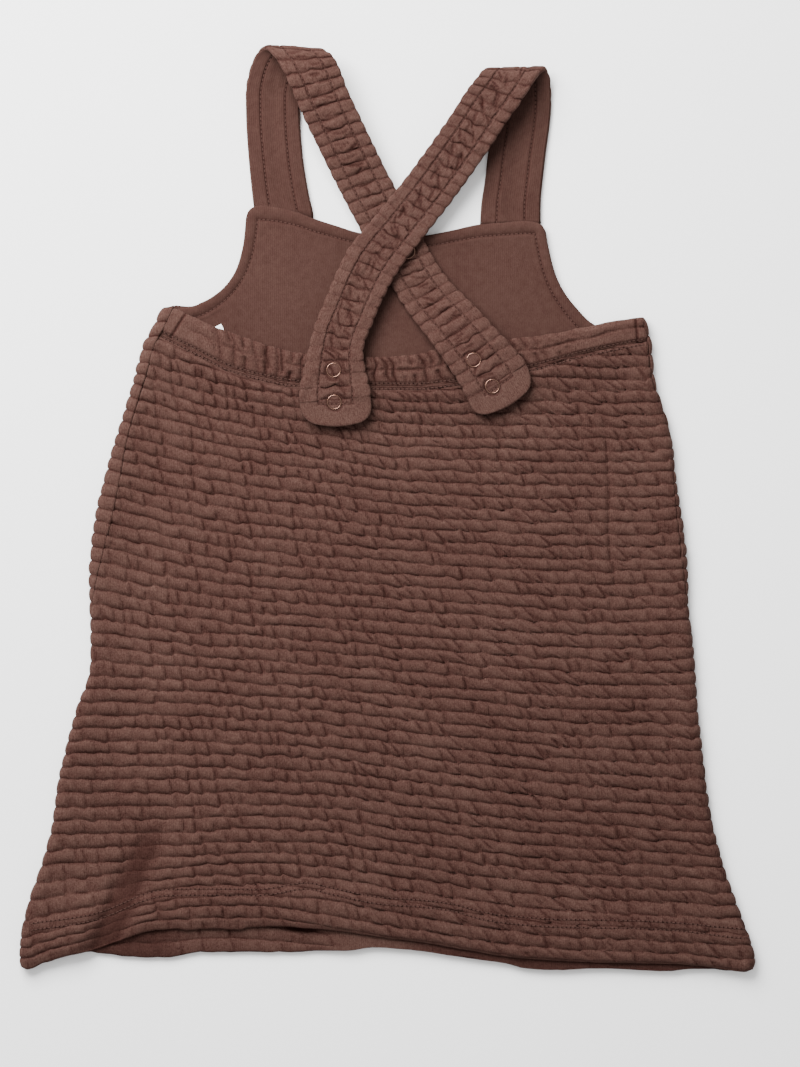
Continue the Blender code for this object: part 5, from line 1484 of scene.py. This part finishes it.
def make_strap_lining(strap, material):
    """The plain side of a strap, with the two lines of stitching sunk into it."""
    ways, _ = strap_rows(strap)
    way, part = np.meshgrid(ways, strap_parts(edge=LINING_EDGE), indexing="ij")
    width, seed = strap.width_at(way), strap.seed + 7
    off = (part - 0.5) * width
    groove = stitched_groove(part, width, LINING_STITCHED)
    puffs = 1 - 0.25 * np.cos((part - 0.5) / 0.5 * math.pi * 2)
    soft = (0.32 * unevenness(off / 4.5 + way / 30.0, way / 28.0, seed)
            + 0.12 * unevenness(off / 3.0, way / 6.0, seed + 1)
            + 0.1 * unevenness(off / 9.0, way / STRAP_RIB, seed + 2))
    height = (JERSEY * (0.95 + soft) * puffs * (1 - 0.55 * groove)).clip(0.35, 1.6)
    sides = rounded_edge(np.minimum(part, 1 - part) * width, LINING_STRAP_EDGE)
    height = 0.3 + (height - 0.3) * (0.2 + 0.8 * sides)
    outer, inner = [strap.points(way, part, -SEAM_GAP / 2 - raised) for raised in (height, 0 * height)]
    # painted shade in the lining's two stitched grooves
    return strap_wall("plain_side_" + strap.which, (outer, inner), material, off, way, 0.8 * groove), outer


def sew_strap(strap, outside, inside, thread):
    """The long stitched lines of a strap, on both of its sides, and the line across its end."""
    ways, _ = strap_rows(strap)
    k = STRAP_STITCHES
    last = int(np.searchsorted(ways, strap.length - END_LINE))
    stitches = []
    for grid, sign in ((outside, 1), (inside, -1)):
        for place in (k, -k - 1):
            centre, forward = sew_along(grid[:last + 1, place], STITCH)
            spots = np.linspace(0, last, len(centre))
            outward = strap.read(strap.outward, np.interp(spots, np.arange(len(ways)), ways))
            seen = centre[:, 2] > LEAST_THREAD_HEIGHT
            stitches.append((centre[seen], forward[seen], outward[seen] * sign))
    centre, forward = sew_along(outside[last, k:-k], STITCH)
    outward = strap.read(strap.outward, np.full(len(centre), strap.length - END_LINE))
    stitches.append((centre, forward, outward))
    rows = [np.concatenate(parts) for parts in zip(*stitches)]
    return make_thread("thread_strap_" + strap.which, *rows, thread)


def settle_piece(piece, slot, *nodes):
    """The piece rides with the dress, and stands for the solids it dresses."""
    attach(piece, "root")
    if nodes:
        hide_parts(*nodes)
    return piece


# ---- press studs and label ----


def make_stud(name, strap, from_end, off, material):
    """A rolled ring, the face of a press stud, pressed into a strap's quilted side."""
    way = strap.length - from_end
    across, outward = strap.read(strap.across, way), strap.read(strap.outward, way)
    outward = outward / np.linalg.norm(outward)
    centre = strap.read(strap.centre, way) + across * off
    across = across - outward * across.dot(outward)
    across = across / np.linalg.norm(across)
    turns = np.linspace(0, 2 * math.pi, STUD_TURNS, endpoint=False)[:, None, None]
    radial = np.cos(turns) * across + np.sin(turns) * np.cross(outward, across)
    out, up = np.array(STUD_PROFILE).T[..., None]
    points = centre + outward * (SEAM_GAP / 2 + STUD_SEAT - STUD_SINK + up) + radial * out
    numbers = np.arange(STUD_TURNS * len(STUD_PROFILE)).reshape(STUD_TURNS, -1)
    faces = quad_list(np.pad(numbers, ((0, 1), (0, 1)), "wrap"))
    return make_piece(name, points.reshape(-1, 3), faces, material)


def make_label(material):
    """Blank satin label, sewn into the left side seam, one corner above the casing."""
    turn = math.radians(LABEL_TURN)
    long = np.array((math.cos(turn), math.sin(turn)))
    wide = np.array((-math.sin(turn), math.cos(turn)))
    u, v = np.meshgrid(np.linspace(0, 1, 41), np.linspace(0, 1, 17), indexing="ij")
    place = np.array(LABEL_CORNER) + u[..., None] * long * LABEL_LENGTH + v[..., None] * wide * LABEL_WIDTH
    curl = LABEL_CURL * ease(1 - u / 0.3) * ease(1 - v)
    low = LAID_HEIGHT + LABEL_ABOVE + SEAM_GAP + curl + LABEL_WAVE * np.sin(u * 9.0)
    shell = cut_shell(*(np.concatenate((place, face[..., None]), axis=-1)
                        for face in (low + LABEL_THICKNESS, low)))
    return make_wall("care_label_blank", shell, material, u * LABEL_LENGTH, v * LABEL_WIDTH)


# ---- thread ----


def make_thread(name, centres, forwards, normals, material):
    """One mesh of short stitches, each a small bow of thread that dives in at both ends."""
    centres, forwards, normals = (np.asarray(rows, float) for rows in (centres, forwards, normals))
    forwards = forwards / np.linalg.norm(forwards, axis=1, keepdims=True)
    normals = normals - forwards * (normals * forwards).sum(1, keepdims=True)
    normals = normals / np.linalg.norm(normals, axis=1, keepdims=True)
    besides = np.cross(normals, forwards)
    points = []
    for mark, radius, _ in STITCH_RINGS:
        middle = centres + forwards * mark * STITCH_HALF - normals * THREAD_DIVE * abs(mark) ** 3
        for turn in np.linspace(0, 2 * math.pi, THREAD_SIDES, endpoint=False):
            points.append(middle + (besides * math.cos(turn) + normals * math.sin(turn)) * radius)
    points = np.array(points).transpose(1, 0, 2)
    count, each = points.shape[:2]
    numbers = np.arange(each).reshape(-1, THREAD_SIDES)
    quads = grid_quads(np.pad(numbers, ((0, 0), (0, 1)), "wrap")).reshape(-1, 4)
    faces = (quads[None] + np.arange(count)[:, None, None] * each).reshape(-1, 4).tolist()
    for k in range(count):
        faces += [(k * each + numbers[0, ::-1]).tolist(), (k * each + numbers[-1]).tolist()]
    # painted shade at each stitch's ends, where it dives into the cloth
    shade = np.tile(np.repeat([ring[-1] for ring in STITCH_RINGS], THREAD_SIDES), count)
    return make_piece(name, points.reshape(-1, 3), faces, material, None, shade)


class Surface:
    """Pieces seen from above: where a line straight down meets them."""

    def __init__(self, pieces):
        graph = bpy.context.evaluated_depsgraph_get()
        self.trees = [BVHTree.FromObject(piece, graph) for piece in pieces]

    def meet(self, x, y, top=40.0):
        """Point and normal of the highest cloth at x and y of the drawing, or None."""
        start = Vector(to_frame((x, y, top)))
        found = [hit for hit in (tree.ray_cast(start, Vector((0, 0, -1))) for tree in self.trees)
                 if hit[0] is not None]
        if not found:
            return None
        point, normal, _, _ = max(found, key=lambda hit: hit[0].z)
        return np.array(point) / METRES + CENTRE, np.array(normal)


def sew_row(line, start, stop, surface, pitch):
    """Middles, directions and normals of the stitches along the curve y = line(x)."""
    xs = np.linspace(start, stop, 4000)
    centres, forwards = sew_along(stacked(xs, line(xs), 0 * xs), pitch)
    rows = []
    for (x, y, _), (ax, ay, _) in zip(centres, forwards / np.linalg.norm(forwards, axis=1, keepdims=True)):
        hits = [surface.meet(x + ax * t, y + ay * t) for t in (-STITCH_HALF * 0.7, 0.0, STITCH_HALF * 0.7)]
        if None not in hits and abs(hits[0][0][2] - hits[2][0][2]) < STITCH_STEP:
            (a, _), (b, normal), (c, _) = hits
            rows.append(((a + b * 2 + c) / 4 + normal * THREAD_ABOVE, c - a, normal))
    return rows


# ---- shaders ----
class Wire:
    """A shader's output socket that takes part in sums, each one a Math node."""

    def __init__(self, socket):
        self.socket = socket

    def _sum(self, operation, *values):
        return node(self.socket.id_data, "Math", {"operation": operation}, *values)

    def __add__(self, other):
        return self._sum("ADD", self, other)

    def __radd__(self, other):
        return self._sum("ADD", other, self)

    def __sub__(self, other):
        return self._sum("SUBTRACT", self, other)

    def __rsub__(self, other):
        return self._sum("SUBTRACT", other, self)

    def __mul__(self, other):
        return self._sum("MULTIPLY", self, other)

    def __rmul__(self, other):
        return self._sum("MULTIPLY", other, self)

    def __pow__(self, other):
        return self._sum("POWER", self, other)


def node(tree, kind, settings, *values, output=0, **named):
    """A node of a type, its settings made first, then its sockets linked or set; one output as a Wire."""
    made = tree.nodes.new("ShaderNode" + kind)
    for key, value in settings.items():
        setattr(made, key, value)
    sockets = [*enumerate(values), *((key.replace("_", " "), value) for key, value in named.items())]
    for place, value in sockets:
        if isinstance(value, Wire):
            tree.links.new(value.socket, made.inputs[place])
        elif value is not None:
            made.inputs[place].default_value = value
    return Wire(made.outputs[output]) if made.outputs else None


def colour(shade, factor=1.0):
    """A colour with its alpha, lightened or darkened."""
    return tuple(part * factor for part in shade[:3]) + (1.0,)


def start_material(name):
    """An empty material, its tree and the function that finishes it with a Principled shader."""
    material = bpy.data.materials.new(name)
    material.use_nodes = True
    tree = material.node_tree
    tree.nodes.clear()

    def finish(**sockets):
        node(tree, "OutputMaterial", {}, node(tree, "BsdfPrincipled", {}, **sockets))
        return material

    return tree, finish


def mix_colours(tree, factor, first, second, blend="MIX"):
    """A Mix node between two colours."""
    other_kinds = (None,) * 5
    settings = {"data_type": "RGBA", "blend_type": blend}
    return node(tree, "Mix", settings, factor, *other_kinds, first, second, output=2)


def lighten(tree, tone, light, greying=1.0):
    """A colour made lighter or darker by a number over the surface, greyer where it is lighter."""
    grey = light if greying == 1.0 else light ** greying
    return mix_colours(tree, 1.0, tone, node(tree, "CombineColor", {}, light, grey, grey), "MULTIPLY")


def read_attribute(tree, name):
    """A mesh attribute: the weave as a vector, the shade as a number."""
    return node(tree, "Attribute", {"attribute_name": name}, output={"weave": 1, "shade": 2}[name])


def noise(tree, place, scale, detail, roughness=0.5):
    """Soft noise over places."""
    return node(tree, "TexNoise", {}, Vector=place, Scale=scale, Detail=detail, Roughness=roughness)


def bumps(tree, strength, distance, height):
    """The surface's direction over small bumps; the distance in millimetres."""
    return node(tree, "Bump", {}, Strength=strength, Distance=distance * METRES, Height=height)


def make_jersey(name, main, deep, grain, sizes):
    """Cotton jersey: fine wales, a soft nap, mottled dye, and painted shade down in its creases and the
    hollows beside them.
    """
    tree, finish = start_material(name)
    weave, shade = read_attribute(tree, "weave"), read_attribute(tree, "shade")
    wander = noise(tree, weave, 0.35, 1.0)
    across = node(tree, "SeparateXYZ", {}, weave)
    wales = (across + wander * 0.9) * (2 * math.pi / (sizes.wale / METRES))
    wales = node(tree, "Math", {"operation": "SINE"}, wales)
    nap, fuzz = noise(tree, weave, 0.8, 3.0, 0.7), noise(tree, weave, 1.9, 2.0, 0.6)
    hairs = noise(tree, node(tree, "Mapping", {}, Vector=weave, Scale=(1.0, 0.3, 1.0)), 1.3, 2.0, 0.6)
    dye, patches = noise(tree, weave, 0.22, 3.0, 0.55), noise(tree, weave, 0.018, 2.0)
    # painted shade: the hollows beside creases dull and darken the cloth's colour
    hollow = node(tree, "Clamp", {}, shade * (1 / SOFT_SHADE))
    lightness = (1.0 + (nap - 0.5) * (1.2 * grain) + (fuzz - 0.5) * (1.4 * grain)
                 + (hairs - 0.5) * (0.8 * grain) + (dye - 0.5) * 0.45 + (patches - 0.5) * 0.35
                 + wales * (0.1 - 0.05 * grain) - hollow * 0.28)
    # painted shade: quilting lines and sharp creases mix towards the dark crease colour, with ragged edges
    line = (shade - SOFT_SHADE - 0.05 + (hairs - 0.5) * 0.9) * 1.6
    tone = lighten(tree, mix_colours(tree, line, colour(main), colour(deep)), lightness, 1.4)
    normal = bumps(tree, 0.5, 0.4, nap * 0.5 + fuzz * 0.3 + wales * 0.12)
    return finish(Base_Color=tone, Roughness=0.9 + nap * 0.1, Normal=normal, Sheen_Weight=0.2,
                  Sheen_Roughness=0.55, Sheen_Tint=colour(main, 3.0), Specular_IOR_Level=0.06)


def make_thread_material(main, deep):
    """Cotton thread, twisted, with painted shade where it goes down into the cloth."""
    tree, finish = start_material("brown_thread")
    place, shade = node(tree, "TexCoord", {}, output=3), read_attribute(tree, "shade")
    twist = noise(tree, place, 1500.0, 2.0)
    tone = lighten(tree, mix_colours(tree, shade, colour(main), colour(deep, 0.7)), 0.75 + twist * 0.5)
    normal = bumps(tree, 0.5, 0.1, twist)
    return finish(Base_Color=tone, Roughness=0.9, Normal=normal, Specular_IOR_Level=0.1)


def make_copper(main):
    """Copper-coloured plating, a little rubbed: darker and lighter at random."""
    tree, finish = start_material("copper_plating")
    place = node(tree, "TexCoord", {}, output=3)
    rub, fine = noise(tree, place, 700.0, 3.0), noise(tree, place, 4000.0, 1.0)
    tone = mix_colours(tree, rub, colour(main, 0.7), colour(main, 1.2))
    normal = bumps(tree, 0.15, 0.05, fine)
    return finish(Base_Color=tone, Metallic=1.0, Roughness=0.14 + rub * 0.2, Normal=normal)


def make_satin(main):
    """White satin tape: fine floats along its length, a soft shine."""
    tree, finish = start_material("blank_satin")
    weave = read_attribute(tree, "weave")
    across = node(tree, "SeparateXYZ", {}, weave, output=1)
    floats = node(tree, "Math", {"operation": "SINE"}, across * 16.0)
    fuzz = noise(tree, weave, 3.0, 3.0)
    tone = lighten(tree, colour(main), 0.9 + floats * 0.04 + fuzz * 0.12)
    normal = bumps(tree, 0.3, 0.08, floats * 0.5 + fuzz)
    return finish(Base_Color=tone, Roughness=0.42 + fuzz * 0.15, Normal=normal, Sheen_Weight=0.1)


# ---- sizes and colours that a user would change ----
class PinaforeSizes(bpy.types.PropertyGroup):
    """Sizes of the quilting, the gathers and the knit"""
    crown: bpy.props.FloatProperty(
        name="Rib height", description="Thickness of the quilted cloth on a rib",
        default=0.0038, min=0.002, max=0.006, unit="LENGTH", precision=4)
    valley: bpy.props.FloatProperty(
        name="Line height", description="Thickness of the cloth at a quilting line",
        default=0.0015, min=0.0005, max=0.003, unit="LENGTH", precision=4)
    gather_depth: bpy.props.FloatProperty(
        name="Gather depth", description="Part of the casing's thickness that its gathers cut into",
        default=0.72, min=0.0, max=0.9, subtype="FACTOR")
    strap_lean: bpy.props.FloatProperty(
        name="Strap rib lean", description="Slope of the ribs across a strap",
        default=0.12, min=-0.5, max=0.5, subtype="FACTOR")
    wale: bpy.props.FloatProperty(
        name="Wale spacing", description="Spacing of the jersey's fine wales",
        default=0.00125, min=0.0003, max=0.003, unit="LENGTH", precision=5)


class PinaforeColours(bpy.types.PropertyGroup):
    """Colours of the cloth, the studs, the label and the floor"""
    quilt: bpy.props.FloatVectorProperty(
        name="Quilted jersey", description="Colour of the quilted jersey",
        default=(0.0458, 0.0228, 0.0182), subtype="COLOR", min=0.0, max=1.0)
    # painted shade: the dark colour mixed in along quilting lines, creases and stitch ends
    crease: bpy.props.FloatVectorProperty(
        name="Creases", description="Colour down in the creases",
        default=(0.016, 0.0042, 0.0029), subtype="COLOR", min=0.0, max=1.0)
    lining: bpy.props.FloatVectorProperty(
        name="Lining jersey", description="Colour of the plain lining",
        default=(0.0358, 0.0168, 0.0134), subtype="COLOR", min=0.0, max=1.0)
    copper: bpy.props.FloatVectorProperty(
        name="Press studs", description="Colour of the studs' plating",
        default=(0.17, 0.092, 0.068), subtype="COLOR", min=0.0, max=1.0)
    label: bpy.props.FloatVectorProperty(
        name="Label", description="Colour of the blank label",
        default=(0.86, 0.86, 0.85), subtype="COLOR", min=0.0, max=1.0)
    floor: bpy.props.FloatVectorProperty(
        name="Floor", description="Colour of the floor it lies on",
        default=(0.9, 0.9, 0.9), subtype="COLOR", min=0.0, max=1.0)


def cloth(kind):
    """The jersey or thread of a kind, made once."""
    made = bpy.data.materials.get(kind)
    if made is None:
        tints = bpy.context.scene.pinafore_colours
        if kind == "brown_thread":
            return make_thread_material(tints.quilt, tints.crease)
        main, grain = (tints.quilt, 1.0) if kind == "quilted_jersey_cloth" else (tints.lining, 0.4)
        made = make_jersey(kind, main, tints.crease, grain, bpy.context.scene.pinafore_sizes)
    return made


class PINAFORE_OT_front(bpy.types.Operator):
    """Make the skirt front and bib, cut in one, that lie underneath"""
    bl_idname = "pinafore.front"
    bl_label = "Front and bib"

    def execute(self, context):
        piece = make_front(context.scene.pinafore_sizes, cloth("quilted_jersey_cloth"))
        settle_piece(piece, "quilted_jersey", "front_panel")
        return {"FINISHED"}


class PINAFORE_OT_back(bpy.types.Operator):
    """Make the skirt back, which lies on the front"""
    bl_idname = "pinafore.back"
    bl_label = "Skirt back"

    def execute(self, context):
        piece = make_back(context.scene.pinafore_sizes, cloth("quilted_jersey_cloth"))
        settle_piece(piece, "quilted_jersey", "back_panel")
        return {"FINISHED"}


class PINAFORE_OT_casing(bpy.types.Operator):
    """Make the gathered elastic casing along the back waist"""
    bl_idname = "pinafore.casing"
    bl_label = "Waist casing"

    def execute(self, context):
        piece = make_casing(context.scene.pinafore_sizes, cloth("quilted_jersey_cloth"))
        settle_piece(piece, "quilted_jersey", "waist_casing")
        return {"FINISHED"}


class PINAFORE_OT_lining(bpy.types.Operator):
    """Make the plain lining of the bib with its topstitched band"""
    bl_idname = "pinafore.lining"
    bl_label = "Bib lining"

    def execute(self, context):
        piece, thread = make_lining(cloth("lining_jersey_cloth"), cloth("brown_thread"))
        settle_piece(piece, "lining_jersey", "bib_lining")
        settle_piece(thread, "lining_jersey")
        return {"FINISHED"}


class PINAFORE_OT_straps(bpy.types.Operator):
    """Make the two straps, quilted outside and lined, folded over and crossed"""
    bl_idname = "pinafore.straps"
    bl_label = "Straps"

    def execute(self, context):
        for which in ("left", "right"):
            strap = Strap(which)
            sizes = context.scene.pinafore_sizes
            outside, quilted = make_strap_outside(strap, sizes, cloth("quilted_jersey_cloth"))
            settle_piece(outside, "quilted_jersey", "strap_" + which)
            inside, plain = make_strap_lining(strap, cloth("lining_jersey_cloth"))
            settle_piece(inside, "lining_jersey", "strap_%s_lining" % which)
            settle_piece(sew_strap(strap, quilted, plain, cloth("brown_thread")), "quilted_jersey")
        return {"FINISHED"}


class PINAFORE_OT_studs(bpy.types.Operator):
    """Make the press studs' rings"""
    bl_idname = "pinafore.studs"
    bl_label = "Press studs"

    def execute(self, context):
        copper = make_copper(context.scene.pinafore_colours.copper)
        straps = {which: Strap(which) for which in STRAPS}
        for name, which, from_end, off in STUDS:
            ring = make_stud(name.replace("press_stud", "ring"), straps[which], from_end, off, copper)
            settle_piece(ring, "stud_metal", name)
        return {"FINISHED"}


class PINAFORE_OT_label(bpy.types.Operator):
    """Make the blank label"""
    bl_idname = "pinafore.label"
    bl_label = "Label"

    def execute(self, context):
        piece = make_label(make_satin(context.scene.pinafore_colours.label))
        settle_piece(piece, "label_satin", "care_label")
        return {"FINISHED"}


class PINAFORE_OT_thread(bpy.types.Operator):
    """Sew the casing's and the hem's twin rows"""
    bl_idname = "pinafore.thread"
    bl_label = "Twin stitching"

    def execute(self, context):
        surface = Surface([bpy.data.objects[name] for name in ("skirt_back", "waist_gathers")])
        for name, pitch, lines in (
                ("thread_waist", WAIST_STITCH, (lambda x: casing_stitch(x) + TWIN_ABOVE,
                                                lambda x: casing_stitch(x) - TWIN_BELOW)),
                ("thread_hem", STITCH, (lambda x: hem_stitch(x) + hem_twin(x) / 2,
                                        lambda x: hem_stitch(x) - hem_twin(x) / 2))):
            rows = [row for line in lines for row in sew_row(line, *TWIN_ENDS[name], surface, pitch)]
            settle_piece(make_thread(name, *zip(*rows), cloth("brown_thread")), "quilted_jersey")
        return {"FINISHED"}


def add_to_scene(name, data):
    """A new object of the scene."""
    made = bpy.data.objects.new(name, data)
    bpy.context.scene.collection.objects.link(made)
    return made


def make_floor(tint):
    """The pale floor that the dress lies on."""
    tree, finish = start_material("pale_floor")
    grain = noise(tree, node(tree, "TexCoord", {}, output=3), 3.0, 3.0)
    tone = lighten(tree, colour(tint), 0.985 + grain * 0.03)
    material = finish(Base_Color=tone, Roughness=0.85, Specular_IOR_Level=0.2)
    mesh = bpy.data.meshes.new("floor")
    corners = [(x, y, FLOOR_HEIGHT) for x, y in ((-1, -1), (1, -1), (1, 1), (-1, 1))]
    mesh.from_pydata([(x * FLOOR_REACH, y * FLOOR_REACH, z) for x, y, z in corners], [], [(0, 1, 2, 3)])
    mesh.materials.append(material)
    return add_to_scene("floor", mesh)


class PINAFORE_OT_stage(bpy.types.Operator):
    """Set the floor, the lights and the camera straight above"""
    bl_idname = "pinafore.stage"
    bl_label = "Stage"

    def execute(self, context):
        scene = context.scene
        floor = make_floor(scene.pinafore_colours.floor)
        world = bpy.data.worlds.new("pale_room")
        world.use_nodes = True
        background = world.node_tree.nodes["Background"].inputs
        background["Color"].default_value = (1.0, 1.0, 1.0, 1.0)
        background["Strength"].default_value = ROOM_LIGHT
        scene.world = world
        for name, place, size, power in LIGHTS:
            lamp = bpy.data.lights.new(name, "AREA")
            lamp.shape, lamp.energy = "RECTANGLE", power
            lamp.size, lamp.size_y = size
            light = add_to_scene(name, lamp)
            light.location = place
            light.rotation_euler = (-Vector(place)).to_track_quat("-Z", "Y").to_euler()
        lens = bpy.data.cameras.new("camera")
        lens.sensor_width, lens.sensor_fit = SENSOR, "AUTO"
        lens.lens = SENSOR * CAMERA_HEIGHT / FRAMED_HEIGHT
        lens.clip_end = 20.0
        camera = add_to_scene("camera", lens)
        camera.location = (*CAMERA_OVER, CAMERA_HEIGHT)
        scene.camera = camera
        return {"FINISHED"}


class PINAFORE_PT_panel(bpy.types.Panel):
    """The dress's pieces, in the order they are made"""
    bl_idname = "PINAFORE_PT_panel"
    bl_label = "Pinafore dress"
    bl_space_type = "VIEW_3D"
    bl_region_type = "UI"
    bl_category = "Pinafore"

    def draw(self, context):
        for group in (context.scene.pinafore_sizes, context.scene.pinafore_colours):
            box = self.layout.box()
            for name in group.bl_rna.properties.keys():
                if name not in ("rna_type", "name"):
                    box.prop(group, name)
        for made in OPERATORS:
            self.layout.operator(made.bl_idname)


OPERATORS = (PINAFORE_OT_front, PINAFORE_OT_back, PINAFORE_OT_casing, PINAFORE_OT_lining, PINAFORE_OT_label,
             PINAFORE_OT_straps, PINAFORE_OT_studs, PINAFORE_OT_thread, PINAFORE_OT_stage)
CLASSES = (PinaforeSizes, PinaforeColours, *OPERATORS, PINAFORE_PT_panel)


def register():
    """Make the operators, the panel and the scene's settings known."""
    for made in CLASSES:
        bpy.utils.register_class(made)
    bpy.types.Scene.pinafore_sizes = bpy.props.PointerProperty(type=PinaforeSizes)
    bpy.types.Scene.pinafore_colours = bpy.props.PointerProperty(type=PinaforeColours)


def unregister():
    """Take away what register() made known."""
    del bpy.types.Scene.pinafore_sizes, bpy.types.Scene.pinafore_colours
    for made in reversed(CLASSES):
        bpy.utils.unregister_class(made)


def main():
    """Build the dress piece by piece."""
    register()
    for made in OPERATORS:
        group, name = made.bl_idname.split(".")
        getattr(getattr(bpy.ops, group), name)()
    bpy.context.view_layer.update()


if __name__ == "__main__":
    main()
